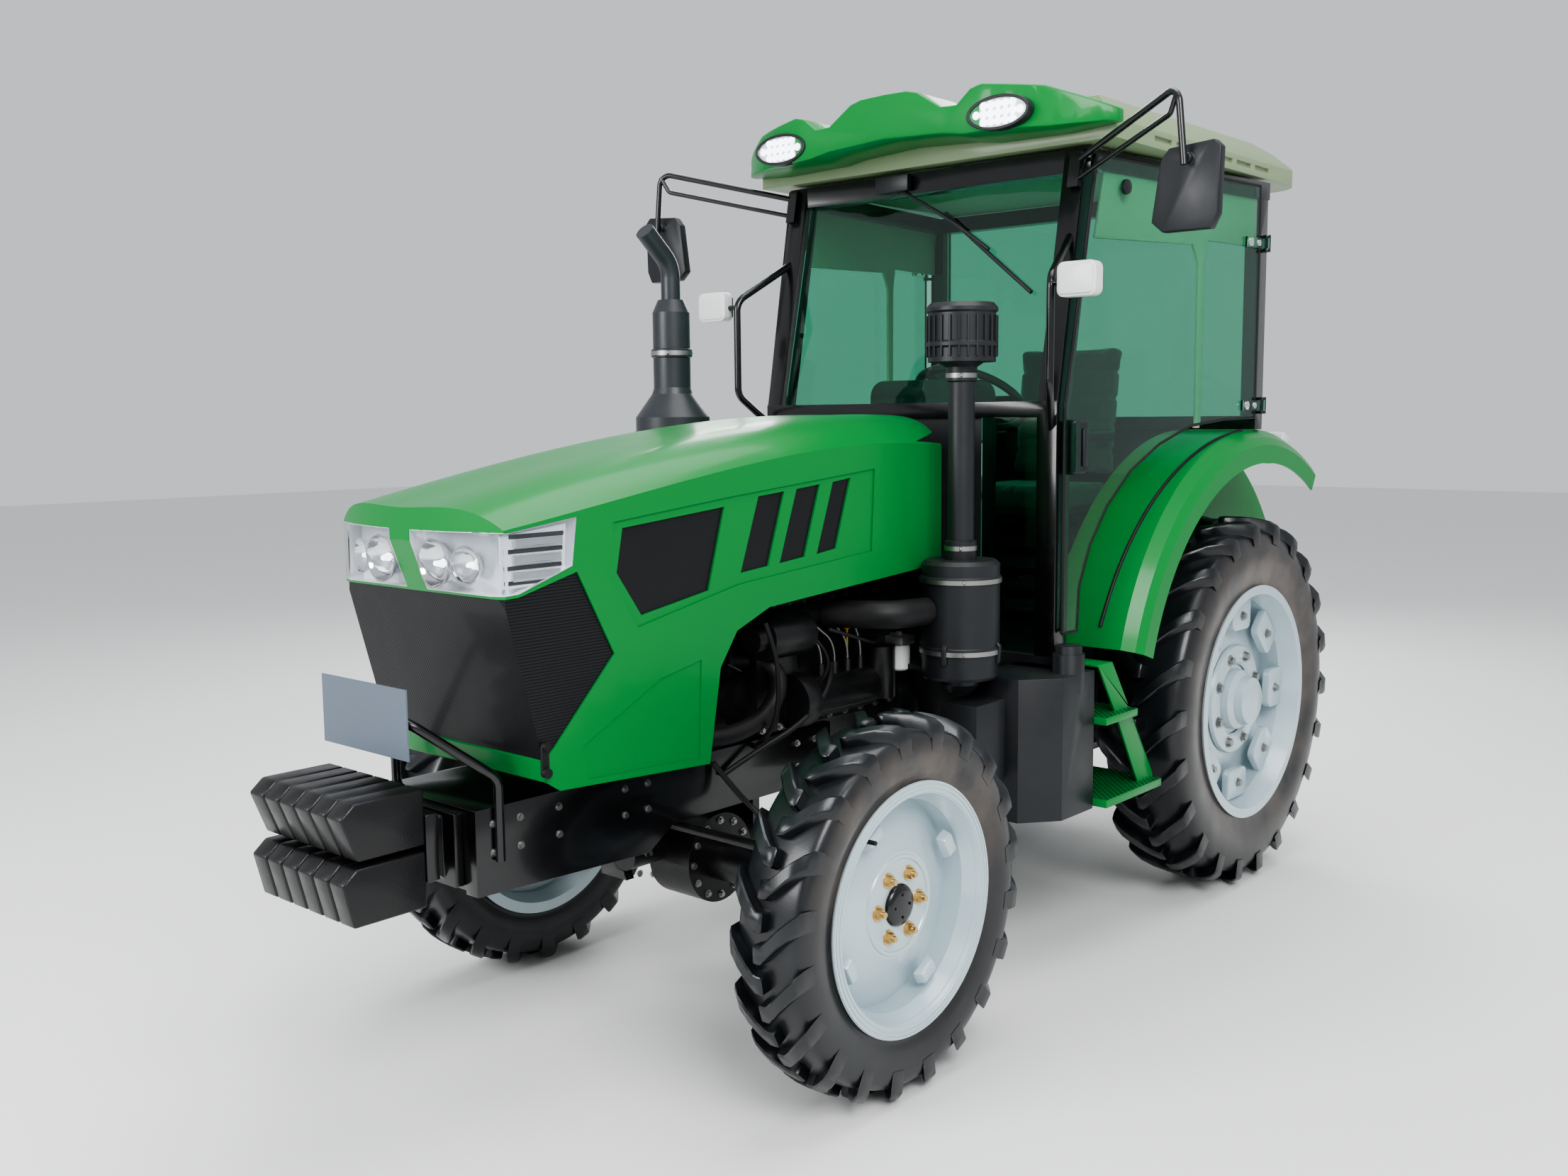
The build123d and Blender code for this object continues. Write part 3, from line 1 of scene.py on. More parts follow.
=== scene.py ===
# %% [markdown]
# # A green farm tractor
# This lesson dresses the CAD model of a four-wheel-drive tractor until it looks like the real
# machine. The CAD model comes in as a frame: every casting, panel and wheel is in its place, in
# metres. X points forward, Y to the driver's left and Z up, and the ground is at z = 0. Each cell
# adds one piece or one finish, and says first what it is on the real tractor.

# %% The frame
import json
from math import atan2, cos, hypot, pi, radians, sin

import bmesh
import bpy
from mathutils import Matrix, Vector

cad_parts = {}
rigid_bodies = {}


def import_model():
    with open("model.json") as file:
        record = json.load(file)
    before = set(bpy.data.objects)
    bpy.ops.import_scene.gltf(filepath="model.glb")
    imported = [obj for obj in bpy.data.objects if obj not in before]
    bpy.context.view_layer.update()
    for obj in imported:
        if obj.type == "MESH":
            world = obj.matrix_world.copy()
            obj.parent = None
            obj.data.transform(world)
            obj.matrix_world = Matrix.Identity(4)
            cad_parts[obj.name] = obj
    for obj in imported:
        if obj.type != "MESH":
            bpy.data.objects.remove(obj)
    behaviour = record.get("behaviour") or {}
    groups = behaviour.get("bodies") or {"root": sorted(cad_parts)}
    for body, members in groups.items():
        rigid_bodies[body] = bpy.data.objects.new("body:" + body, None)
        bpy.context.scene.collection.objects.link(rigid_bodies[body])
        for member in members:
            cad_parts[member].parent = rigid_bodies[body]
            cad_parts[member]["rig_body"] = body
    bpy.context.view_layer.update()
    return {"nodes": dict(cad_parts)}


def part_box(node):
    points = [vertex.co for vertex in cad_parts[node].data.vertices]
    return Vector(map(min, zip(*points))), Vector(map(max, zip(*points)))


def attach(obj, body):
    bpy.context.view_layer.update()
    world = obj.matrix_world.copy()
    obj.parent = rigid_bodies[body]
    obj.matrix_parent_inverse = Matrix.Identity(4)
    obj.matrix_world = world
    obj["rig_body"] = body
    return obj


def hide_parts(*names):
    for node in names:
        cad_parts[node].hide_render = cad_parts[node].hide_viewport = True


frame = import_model()
nodes = frame["nodes"]
SIDES = (("left", 1), ("right", -1))
FORWARD, BACK, LEFT, UP = (1, 0, 0), (-1, 0, 0), (0, 1, 0), (0, 0, 1)
MIRROR = Matrix.Scale(-1, 4, LEFT)

# %% [markdown]
# ## Handling meshes
# Modelling by script goes the way it goes by hand: add a primitive, go into edit mode, select some
# faces and run an operator on them. An operator acts on all that is selected, so each helper first
# clears the selection. A piece is settled early: its place goes into its mesh and its object stays
# at the origin, because the patterns of the finishes are measured from there.

# %% Selecting and settling
def only(*pieces):
    """Leave object mode clean, with just these pieces selected and the first one active."""
    if bpy.context.object and bpy.context.object.mode != "OBJECT":
        bpy.ops.object.mode_set(mode="OBJECT")
    bpy.ops.object.select_all(action="DESELECT")
    for piece in pieces:
        piece.select_set(True)
    bpy.context.view_layer.objects.active = pieces[0]


def settle(piece):
    """Put the place, turn and size of a piece into its mesh."""
    only(piece)
    bpy.ops.object.transform_apply(location=True, rotation=True, scale=True)
    return piece


def edit(piece, kind="FACE", test=None):
    """Go into edit mode with everything selected, or the faces or edges that pass the test."""
    only(piece)
    bpy.ops.object.mode_set(mode="EDIT")
    bpy.ops.mesh.select_mode(type=kind)
    bpy.ops.mesh.select_all(action="DESELECT" if test else "SELECT")
    if test is None:
        return
    mesh = bmesh.from_edit_mesh(piece.data)
    if kind == "FACE":
        for face in mesh.faces:
            face.select = test(face.calc_center_median(), face.normal)
    else:
        for edge in mesh.edges:
            a, b = edge.verts
            edge.select = test((a.co + b.co) / 2, (b.co - a.co).normalized())
    mesh.select_flush_mode()
    bmesh.update_edit_mesh(piece.data)


def select_everything():
    bpy.ops.mesh.select_all(action="SELECT")


def done():
    bpy.ops.object.mode_set(mode="OBJECT")


# %% Edits that are needed again and again
def towards(direction):
    """A test for faces that look in a direction."""
    return lambda middle, normal: normal.dot(direction) > 0.9


def running(direction):
    """A test for edges that run in a direction."""
    return lambda middle, run: abs(run.dot(direction)) > 0.9


def push(step):
    """Extrude the selected faces by a step."""
    bpy.ops.mesh.extrude_region_move(TRANSFORM_OT_translate={"value": step})


def step_face(piece, test, rim, step):
    """Inset the faces that pass the test and push them in or out."""
    edit(piece, "FACE", test)
    bpy.ops.mesh.inset(thickness=rim, depth=0.0)
    push(step)
    done()


def cut_away(piece, test):
    """Delete the faces that pass the test."""
    edit(piece, "FACE", test)
    bpy.ops.mesh.delete(type="FACE")
    done()


def round_edges(piece, test, width, segments):
    """Give the edges that pass the test a wide bevel."""
    edit(piece, "EDGE", test)
    bpy.ops.mesh.bevel(offset=width, segments=segments, affect="EDGES")
    done()


def modify(piece, kind, **settings):
    """Add a modifier, set it up and apply it."""
    only(piece)
    modifier = piece.modifiers.new(kind.title(), kind)
    for name, value in settings.items():
        setattr(modifier, name, value)
    bpy.ops.object.modifier_apply(modifier=modifier.name)
    return piece


def chamfer(piece, width, segments=2, angle=35):
    """Break the sharp edges of a piece."""
    return modify(piece, "BEVEL", width=width, segments=segments, limit_method="ANGLE",
                  angle_limit=radians(angle))


# %% Joining and copying
def merged(pieces):
    """Join pieces into the first one."""
    only(*pieces)
    if len(pieces) > 1:
        bpy.ops.object.join()
    return pieces[0]


def mirrored(piece):
    """Send a piece to the other side of the tractor."""
    piece.data.transform(MIRROR)
    piece.data.flip_normals()
    return piece


def copy_of(piece, matrix=None):
    """A copy with its own mesh, moved by a matrix."""
    copy = piece.copy()
    copy.data = piece.data.copy()
    bpy.context.scene.collection.objects.link(copy)
    if matrix:
        copy.data.transform(matrix)
        if matrix.determinant() < 0:
            copy.data.flip_normals()
    return copy


def both_sides(piece):
    """The piece and its mirror image on the other side of the tractor, as one mesh."""
    return merged([piece, mirrored(copy_of(piece))])


def about(centre, turn):
    """A turn that is made about a centre."""
    centre = Vector(centre)
    return Matrix.Translation(centre) @ turn @ Matrix.Translation(-centre)


def turned(piece, centre, axis, count, first=0.0, step=None):
    """Copies of a piece set about an axis and joined. They fill the circle if no step is given."""
    copies = []
    for i in range(count):
        angle = first + i * (step or 2 * pi / count)
        copies.append(copy_of(piece, about(centre, Matrix.Rotation(angle, 4, Vector(axis)))))
    bpy.data.objects.remove(piece)
    return merged(copies)


def shifted(piece, steps):
    """Copies of a piece, one moved by each step, joined."""
    copies = [copy_of(piece, Matrix.Translation(Vector(step))) for step in steps]
    bpy.data.objects.remove(piece)
    return merged(copies)


# %% [markdown]
# ## Starting shapes
# Almost everything on a machine starts as a block, a bar or a turned form. The turned form is made
# as on a lathe: a point is extruded along the outline of one half, and the outline is spun round
# the axis. A plate starts from the same kind of outline, filled and extruded.

# %% Block, bar, turned form, pipe and plate
def block(low, high):
    low, high = Vector(low), Vector(high)
    bpy.ops.mesh.primitive_cube_add(size=1, location=(low + high) / 2, scale=high - low)
    return settle(bpy.context.object)


def bar(start, end, radius, sides=24, far_radius=None):
    """Round bar from start to end, which may taper."""
    start, end = Vector(start), Vector(end)
    run = end - start
    bpy.ops.mesh.primitive_cone_add(
        vertices=sides, radius1=radius, radius2=radius if far_radius is None else far_radius,
        depth=run.length, location=(start + end) / 2,
        rotation=run.to_track_quat("Z", "Y").to_euler())
    return settle(bpy.context.object)


def traced(points):
    """A wire through the points, left in edit mode with all of it selected."""
    bpy.ops.mesh.primitive_plane_add(size=0.001, location=points[0])
    piece = settle(bpy.context.object)
    edit(piece, "VERT")
    bpy.ops.mesh.merge(type="CENTER")
    for a, b in zip(points, points[1:]):
        bpy.ops.mesh.extrude_vertices_move(TRANSFORM_OT_translate={"value": b - a})
    select_everything()
    return piece


def made_whole(piece, gap=None):
    """Merge corners nearer than the gap, turn all faces outwards and leave edit mode."""
    select_everything()
    if gap:
        bpy.ops.mesh.remove_doubles(threshold=gap)
        select_everything()
    bpy.ops.mesh.normals_make_consistent(inside=False)
    done()
    return piece


def lathe(outline, centre, axis, steps=64):
    """Outline of (along the axis, radius) points, spun round the axis through centre."""
    centre, axis = Vector(centre), Vector(axis).normalized()
    out = axis.orthogonal().normalized()
    piece = traced([centre + axis * along + out * radius for along, radius in outline])
    bpy.ops.mesh.spin(steps=steps, angle=2 * pi, center=centre, axis=axis)
    return made_whole(piece, 0.0001)


def plate(outline, low, high):
    """Flat plate: a closed outline of (x, z) points, extruded along Y from low to high."""
    piece = traced([Vector((x, low, z)) for x, z in outline])
    bpy.ops.mesh.edge_face_add()
    select_everything()
    push((0, high - low, 0))
    return made_whole(piece)


def pipe(points, radius, sides=6):
    """Smooth tube through a few points of its middle line, with closed ends."""
    line = bpy.data.curves.new("pipe", "CURVE")
    line.dimensions = "3D"
    line.bevel_depth = radius
    line.bevel_resolution = sides
    line.resolution_u = 10
    line.use_fill_caps = True
    spline = line.splines.new("NURBS")
    spline.points.add(len(points) - 1)
    for point, place in zip(spline.points, points):
        point.co = (*place, 1)
    spline.order_u = 3
    spline.use_endpoint_u = True
    piece = bpy.data.objects.new("pipe", line)
    bpy.context.scene.collection.objects.link(piece)
    only(piece)
    bpy.ops.object.convert(target="MESH")
    piece = bpy.context.object
    edit(piece)
    return made_whole(piece, 0.00005)


def softened(node, width, segments=2, angle=30):
    """A copy of a CAD node with its flats made whole and its edges broken, as on a casting."""
    piece = copy_of(nodes[node])
    for key in list(piece.keys()):
        del piece[key]
    piece.parent = None
    piece.hide_viewport = piece.hide_render = False
    piece.hide_set(False)
    piece.data.materials.clear()
    edit(piece)
    bpy.ops.mesh.remove_doubles(threshold=0.00005)
    bpy.ops.mesh.dissolve_limited(angle_limit=radians(0.6))
    done()
    return chamfer(piece, width, segments, angle) if width else piece


# %% [markdown]
# ## Surface effects that several finishes share
# Paint, iron and rubber differ in colour, but the same things happen to them: the gloss varies in
# cloudy patches, a fine grain breaks the highlights, and dust settles on what faces up. On the
# tyres the same layer lays a blue-grey painted highlight on what faces up. Each effect is a shader
# node group, built once and placed in each finish with other values.

# %% Nodes
def feed(node, values):
    """Give inputs of a node their values: another node's output socket, or a constant."""
    for target, source in values.items():
        if hasattr(source, "is_output"):
            node.id_data.links.new(source, node.inputs[target])
        else:
            node.inputs[target].default_value = source


def add_node(tree, kind, values={}, **settings):
    node = tree.nodes.new("ShaderNode" + kind)
    for name, value in settings.items():
        setattr(node, name, value)
    feed(node, values)
    return node


def maths(tree, operation, *values):
    return add_node(tree, "Math", dict(enumerate(values)), operation=operation).outputs[0]


def stretched(tree, value, low, high, to_low=0.0, to_high=1.0):
    """The value's range from low to high, stretched to another range and cut off at its ends."""
    return add_node(tree, "MapRange", {"Value": value, "From Min": low, "From Max": high,
                                       "To Min": to_low, "To Max": to_high}).outputs[0]


def noise(tree, place, scale, detail, roughness=0.5):
    return add_node(tree, "TexNoise", {"Vector": place, "Scale": scale, "Detail": detail,
                                       "Roughness": roughness}).outputs["Fac"]


def blend(tree, share, first, second):
    """Two colours mixed. The colour sockets of a Mix node are its numbers 6 and 7."""
    return add_node(tree, "Mix", {"Factor": share, 6: first, 7: second},
                    data_type="RGBA").outputs[2]


def object_place(tree):
    return add_node(tree, "TexCoord").outputs["Object"]


def axes_of(tree, vector):
    return add_node(tree, "SeparateXYZ", {"Vector": vector}).outputs


# %% Node groups: grain, and dust that is a painted highlight on the tyres
def new_group(name, inputs, outputs):
    """A node group, the sockets that bring its values in and those that take its results."""
    group = bpy.data.node_groups.new(name, "ShaderNodeTree")
    for way, sockets in (("INPUT", inputs), ("OUTPUT", outputs)):
        for label, value in sockets.items():
            kind = "NodeSocketColor" if isinstance(value, tuple) else "NodeSocketFloat"
            socket = group.interface.new_socket(label, in_out=way, socket_type=kind)
            socket.default_value = value
    return (group, group.nodes.new("NodeGroupInput").outputs,
            group.nodes.new("NodeGroupOutput"))


grain, given, made = new_group(
    "surface_grain", {"Scale": 40.0, "Fine Scale": 900.0, "Roughness": 0.4, "Spread": 0.1},
    {"Roughness": 0.0, "Height": 0.0, "Cloud": 0.0})
place = object_place(grain)
cloud = noise(grain, place, given["Scale"], 4.0)
fine = noise(grain, place, given["Fine Scale"], 2.0)
gloss = maths(grain, "MULTIPLY_ADD", maths(grain, "SUBTRACT", cloud, 0.5), given["Spread"],
              given["Roughness"])
feed(made, {"Roughness": gloss, "Height": fine, "Cloud": cloud})

# Dust on what faces up. The tyres use the same layer for a blue-grey painted highlight.
dust, given, made = new_group(
    "settled_dust_and_highlight", {"Paint": (0.5, 0.5, 0.5, 1), "Dust and Highlight": (0.3, 0.25, 0.2, 1), "Amount": 0.2,
                     "Scale": 6.0}, {"Colour": (0, 0, 0, 1)})
facing = add_node(dust, "NewGeometry").outputs["Normal"]
up = stretched(dust, axes_of(dust, facing)["Z"], -0.2, 1.0, 0.15, 1.0)
patches = noise(dust, object_place(dust), given["Scale"], 6.0, 0.65)
mask = maths(dust, "MULTIPLY", up, stretched(dust, patches, 0.4, 0.72))
amount = maths(dust, "MULTIPLY", mask, given["Amount"])
feed(made, {"Colour": blend(dust, amount, given["Paint"], given["Dust and Highlight"])})
print("node groups:", grain.name, dust.name)

# %% [markdown]
# ## Finishes
# One function lays the common layers: colour, cloudy gloss, grain as a bump, and dust, which on the
# tyres is a blue-grey painted highlight. Each finish then only states what is special about it.
# Constant values sit on the shader's own sockets.

# %% The common layers
def new_material(name):
    material = bpy.data.materials.new(name)
    material.use_nodes = True
    return material, material.node_tree, material.node_tree.nodes["Principled BSDF"]


def layered(name, colour, roughness=0.4, spread=0.15, metallic=0.0, coat=0.0, coat_roughness=0.1,
            bump=0.02, scale=18.0, fine=700.0, dusty=0.1, dust_and_highlight_colour=(0.22, 0.19, 0.15, 1),
            specular=0.5):
    """A material, its tree and shader, and the nodes that bring its grain, its dust (a painted
    highlight on the tyres) and its relief.
    """
    material, tree, shader = new_material(name)
    grains = add_node(tree, "Group", node_tree=grain)
    feed(grains, {"Scale": scale, "Fine Scale": fine, "Roughness": roughness, "Spread": spread})
    dust_and_highlight_layer = add_node(tree, "Group", node_tree=dust)
    feed(dust_and_highlight_layer, {"Paint": (*colour, 1), "Dust and Highlight": dust_and_highlight_colour, "Amount": dusty})
    relief = add_node(tree, "Bump", {"Height": grains.outputs["Height"], "Strength": bump,
                                     "Distance": 0.002})
    feed(shader, {"Metallic": metallic, "Coat Weight": coat, "Coat Roughness": coat_roughness,
                  "Specular IOR Level": specular, "Base Color": dust_and_highlight_layer.outputs["Colour"],
                  "Roughness": grains.outputs["Roughness"], "Normal": relief.outputs["Normal"]})
    return material, tree, shader, grains, dust_and_highlight_layer, relief


def finish(*values, **named_values):
    return layered(*values, **named_values)[0]


green_paint = finish("green_paint", (0.001, 0.19, 0.034), 0.36, 0.12, coat=0.2,
                     coat_roughness=0.12, bump=0.012, scale=5.0, fine=260.0, dusty=0.0,
                     specular=0.25)
sage_paint = finish("sage_paint", (0.2, 0.27, 0.15), 0.42, 0.1, coat=0.25, bump=0.03, dusty=0.15)
beige_trim = finish("beige_trim", (0.58, 0.53, 0.43), 0.6, 0.1, bump=0.12, fine=500.0, dusty=0.08)
black_gloss = finish("black_gloss", (0.003, 0.003, 0.004), 0.24, 0.12, coat=0.25, bump=0.015,
                     dusty=0.02)
black_iron = finish("black_iron", (0.004, 0.004, 0.005), 0.38, 0.25, coat=0.1, coat_roughness=0.2,
                    bump=0.28, scale=30.0, fine=220.0, dusty=0.035, specular=0.4)
moulded = finish("moulded_plastic", (0.01, 0.012, 0.015), 0.42, 0.14, bump=0.1, fine=420.0,
                 dusty=0.09, specular=0.45)
grey_black = finish("heatproof_black", (0.02, 0.024, 0.029), 0.38, 0.2, bump=0.08, dusty=0.08)
rubber = finish("hose_rubber", (0.007, 0.007, 0.008), 0.5, 0.15, bump=0.08, dusty=0.07,
                specular=0.35)
chrome = finish("chrome", (0.75, 0.76, 0.78), 0.12, 0.12, metallic=1.0, bump=0.01, dusty=0.04)
zinc = finish("zinc_bolts", (0.34, 0.34, 0.33), 0.38, 0.2, metallic=1.0, bump=0.06, dusty=0.1)
brass = finish("brass_nuts", (0.6, 0.43, 0.2), 0.33, 0.2, metallic=1.0, bump=0.05, dusty=0.1)
silver_paint = finish("silver_paint", (0.48, 0.58, 0.62), 0.3, 0.06, metallic=0.25, coat=0.35,
                      bump=0.008, fine=380.0, dusty=0.03)
white_tin = finish("white_filter", (0.7, 0.71, 0.7), 0.35, 0.1, coat=0.3, dusty=0.15)
yellow_cap = finish("yellow_cap", (0.75, 0.38, 0.02), 0.4, 0.1, dusty=0.1)
blank_plate = finish("blank_plate", (0.105, 0.135, 0.175), 0.45, 0.1, bump=0.02, dusty=0.08)
alloy = finish("raw_alloy", (0.3, 0.3, 0.29), 0.45, 0.25, metallic=0.85, bump=0.3, fine=300.0,
               dusty=0.2)
print("plain finishes:", len(bpy.data.materials))

# %% [markdown]
# ## Tyre rubber
# Tyres are blue-black and shine where the mould was smooth, and brown dust clings to the upper part
# of the side walls. What faces up gets a blue-grey painted highlight. Rings on the side wall need
# the distance from the axle, so a Mapping node centres the object coordinates on each wheel.

# %% Tyre rubber
def tyre_rubber(name, centre, tread_radius, wall_radius, lowest):
    # The blue-grey colour laid on what faces up is a painted highlight, not dust
    material, tree, shader, grains, dust_and_highlight_layer, relief = layered(
        name, (0.006, 0.0075, 0.0095), 0.34, 0.25, coat=0.1, bump=0.1, scale=9.0, fine=300.0,
        dusty=0.25, dust_and_highlight_colour=(0.04, 0.05, 0.06, 1))
    hub = add_node(tree, "Mapping", {"Vector": object_place(tree),
                                     "Location": -Vector(centre)}).outputs[0]
    axes = axes_of(tree, hub)
    flat = add_node(tree, "CombineXYZ", {"X": axes["X"], "Z": axes["Z"]}).outputs[0]
    radius = add_node(tree, "VectorMath", {0: flat}, operation="LENGTH").outputs["Value"]
    wall = stretched(tree, radius, tread_radius, wall_radius)
    clear = stretched(tree, noise(tree, hub, 7.0, 5.0), 0.28, 0.62)
    upper = stretched(tree, axes["Z"], -0.1, tread_radius, lowest)
    film = maths(tree, "MULTIPLY", maths(tree, "MULTIPLY", wall, clear), upper)
    brown = (0.125, 0.098, 0.082, 1)
    feed(shader, {"Base Color": blend(tree, film, dust_and_highlight_layer.outputs["Colour"], brown)})
    rings = add_node(tree, "TexWave", {"Vector": radius, "Scale": 14.0}).outputs["Fac"]
    feed(relief, {"Height": maths(tree, "MULTIPLY_ADD", rings, 0.06, grains.outputs["Height"])})
    return material


# %% [markdown]
# ## Glass
# Cab glass is a few millimetres thick and tinted green. It is a solid sheet here, so the light
# bends in and out as in real glass. Lamp glass is clear. Both have a faint smear of dust.

# %% Glass finishes
def glassy(name, colour, roughness):
    material, tree, shader = new_material(name)
    smear = add_node(tree, "Group", node_tree=grain)
    feed(smear, {"Scale": 3.0, "Roughness": roughness, "Spread": roughness})
    film = add_node(tree, "Group", node_tree=dust)
    feed(film, {"Paint": (*colour, 1), "Dust and Highlight": (0.75, 0.78, 0.74, 1), "Amount": 0.1})
    tint = film.outputs["Colour"]
    feed(shader, {"Transmission Weight": 1.0, "IOR": 1.45, "Base Color": tint,
                  "Roughness": smear.outputs["Roughness"]})
    # Light from the lamps comes straight through, so that what is behind the glass is lit
    rays = add_node(tree, "LightPath").outputs["Is Shadow Ray"]
    clear = add_node(tree, "BsdfTransparent", {"Color": tint}).outputs[0]
    either = add_node(tree, "MixShader", {0: rays, 1: shader.outputs[0], 2: clear}).outputs[0]
    feed(tree.nodes["Material Output"], {"Surface": either})
    return material


cab_glass = glassy("cab_glass", (0.3, 0.67, 0.52), 0.01)
lamp_glass = glassy("lamp_glass", (0.93, 0.95, 0.97), 0.02)

# %% [markdown]
# ## Perforated black sheet
# The nose grille and the side windows are steel sheet with thousands of punched holes. Real holes
# would need millions of faces, so the sheet's own finish draws them: a dot pattern in object
# coordinates fills the holes with near-black painted shade, for the unlit space behind the sheet,
# and dents the surface, while the bridges between them stay glossy.

# %% Perforated sheet
def perforated(name, pitch, plane="YZ", colour=(0.007, 0.008, 0.01), specular=0.3):
    material, tree, shader, grains, dust_and_highlight_layer, relief = layered(
        name, colour, 0.34, 0.12, coat=0.1, dusty=0.02, specular=specular)
    axes = axes_of(tree, object_place(tree))
    waves = [maths(tree, "COSINE", maths(tree, "MULTIPLY", axes[axis], 2 * pi / pitch))
             for axis in plane]
    hole = stretched(tree, maths(tree, "MULTIPLY", *waves), 0.05, 0.25)
    # The holes get near-black painted shade for the unlit space behind the sheet
    depth = (0.0015, 0.0015, 0.002, 1)
    feed(shader, {"Base Color": blend(tree, hole, dust_and_highlight_layer.outputs["Colour"], depth),
                  "Roughness": maths(tree, "MULTIPLY_ADD", hole, 0.5,
                                     grains.outputs["Roughness"])})
    feed(relief, {"Height": maths(tree, "SUBTRACT", 1.0, hole), "Strength": 0.5})
    return material


nose_mesh = perforated("nose_mesh", 0.0075)
side_mesh = perforated("side_mesh", 0.006, "XZ")
tread_mesh = perforated("tread_mesh", 0.024, "XY", (0.001, 0.19, 0.034), 0.4)

# %% [markdown]
# ## Dressing a piece
# A finished piece gets its name, its finish and its body. If it stands for a CAD node, that node is
# hidden, and MuJoCo keeps it for contact.

# %% Dress
def dress(piece, name, finish_of, stands_for=None, body="chassis", angle=35):
    piece.name = piece.data.name = name
    piece.data.materials.clear()
    piece.data.materials.append(finish_of)
    only(piece)
    bpy.ops.object.shade_smooth_by_angle(angle=radians(angle))
    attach(piece, body)
    if stands_for:
        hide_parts(stands_for)
    return piece


def paint(finish_of, names):
    """Give CAD nodes a finish."""
    for name in names.split():
        node = nodes[name]
        if not node.material_slots:
            node.data.materials.append(finish_of)
        for place in node.material_slots:
            place.material = finish_of


paint(green_paint, "hood left_fender right_fender steps visor")
paint(sage_paint, "roof")
paint(beige_trim, "cab_lining")
paint(black_gloss, "cab_frame grab_rails mirror_arms front_frame plate_bar weight_carrier")
paint(black_iron, "transmission rear_axle front_axle left_knuckle right_knuckle engine drawbar "
      "tie_rod lift_arms left_lower_link right_lower_link left_lift_rod right_lift_rod "
      "side_brackets front_weights")
paint(moulded, "fuel_tank battery_box mirror_heads dash steering_wheel bulkhead cab_floor "
      "air_cleaner intake_stack seat")
paint(rubber, "intake_hose")
paint(grey_black, "exhaust")
paint(alloy, "radiator")
paint(nose_mesh, "grille")
paint(side_mesh, "side_grilles")
paint(cab_glass, "windscreen rear_window left_door right_door")
paint(lamp_glass, "headlights work_lamps")
paint(white_tin, "marker_lamps")
paint(blank_plate, "number_plate")
paint(silver_paint, "front_left_rim front_right_rim rear_left_rim rear_right_rim")

# %% [markdown]
# ## Tyres
# A drive tyre has two rows of slanted bars, called lugs, that meet near the middle and point the
# way the wheel turns. The carcass is turned on the lathe with the outline of its side walls and
# smoothed. One lug is a block, extruded five times: each time the end face moves outwards, sinks
# with the crown and turns a little about the axle. It is copied round the tyre, and mirrored for
# the other row.

# %% Tyres
# Each run of a lug: its share of the half width, how far it sinks and how far it turns
LUG_RUNS = ((0.24, 0.000, 0.05), (0.24, -0.002, 0.055), (0.24, -0.007, 0.052),
            (0.16, -0.014, 0.035), (0.02, -0.03, 0.01))


def tyre(wheel, rim_radius, rim_width, lug_count, lug_height, lug_half, lowest_dust):
    """Dress a wheel's tyre. A lug is twice lug_half long round the tread."""
    node = f"{wheel}_tyre"
    low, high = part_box(node)
    centre = (low + high) / 2
    side = centre.y
    centre.y = abs(side)
    radius, half = (high.z - low.z) / 2, (high.y - low.y) / 2
    tread = radius - lug_height
    wall = tread - rim_radius
    bead = rim_width / 2 - 0.009
    outline = [(-bead, rim_radius - 0.022), (-bead, rim_radius + 0.004),
               (-bead - 0.001, rim_radius + 0.012)]
    outline += [(-half * out, rim_radius + wall * up) for out, up in
                ((0.9, 0.2), (0.975, 0.42), (0.985, 0.6), (0.95, 0.8))]
    outline += [(-half * 0.86, tread - wall * 0.07), (-half * 0.66, tread - 0.006),
                (-half * 0.3, tread)]
    outline += [(-along, r) for along, r in reversed(outline)]
    carcass = lathe(outline, centre, LEFT, 72)
    modify(carcass, "SUBSURF", levels=1, render_levels=1)

    lug = block(centre + Vector((-lug_half, -0.012, tread - 0.012)),
                centre + Vector((lug_half, 0.012, radius)))
    angle, reach = 0.0, half * 0.985
    scale = reach / (sum(share for share, _, _ in LUG_RUNS) * reach + 0.012) * reach
    edit(lug, "FACE", towards(LEFT))
    for share, sink, turn in LUG_RUNS:
        push(Vector((sin(angle) * sink, share * scale, cos(angle) * sink)))
        bpy.ops.transform.rotate(value=turn, orient_axis="Y", center_override=centre)
        angle -= turn
    done()
    chamfer(lug, 0.005, 1, 40)
    row = turned(lug, centre, LEFT, lug_count)
    other_row = copy_of(row, about(centre, Matrix.Rotation(pi / lug_count, 4, "Y") @ MIRROR))
    piece = merged([carcass, row, other_row])
    if side < 0:
        mirrored(piece)
        centre.y = side
    material = tyre_rubber(f"{node}_lugged_rubber", centre, tread - 0.01, rim_radius + 0.02,
                           lowest_dust)
    dress(piece, f"{node}_lugged", material, node, f"{wheel}_wheel", 40)


for word, _ in SIDES:
    tyre(f"front_{word}", 0.33, 0.194, 20, 0.03, 0.024, 0.08)
    tyre(f"rear_{word}", 0.432, 0.284, 22, 0.036, 0.027, 0.5)

# %% [markdown]
# ## Castings and pressings with broken edges
# No casting, weld or moulding has knife edges: a small radius catches the light along every edge,
# and the eye reads size from it. A copy of each node below is made whole, its edges get a bevel,
# and the copy stands for the node.


def edged(finish_of, width, names):
    for name in names.split():
        dress(softened(name, width), f"{name}_edged", finish_of, name,
              nodes[name]["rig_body"])


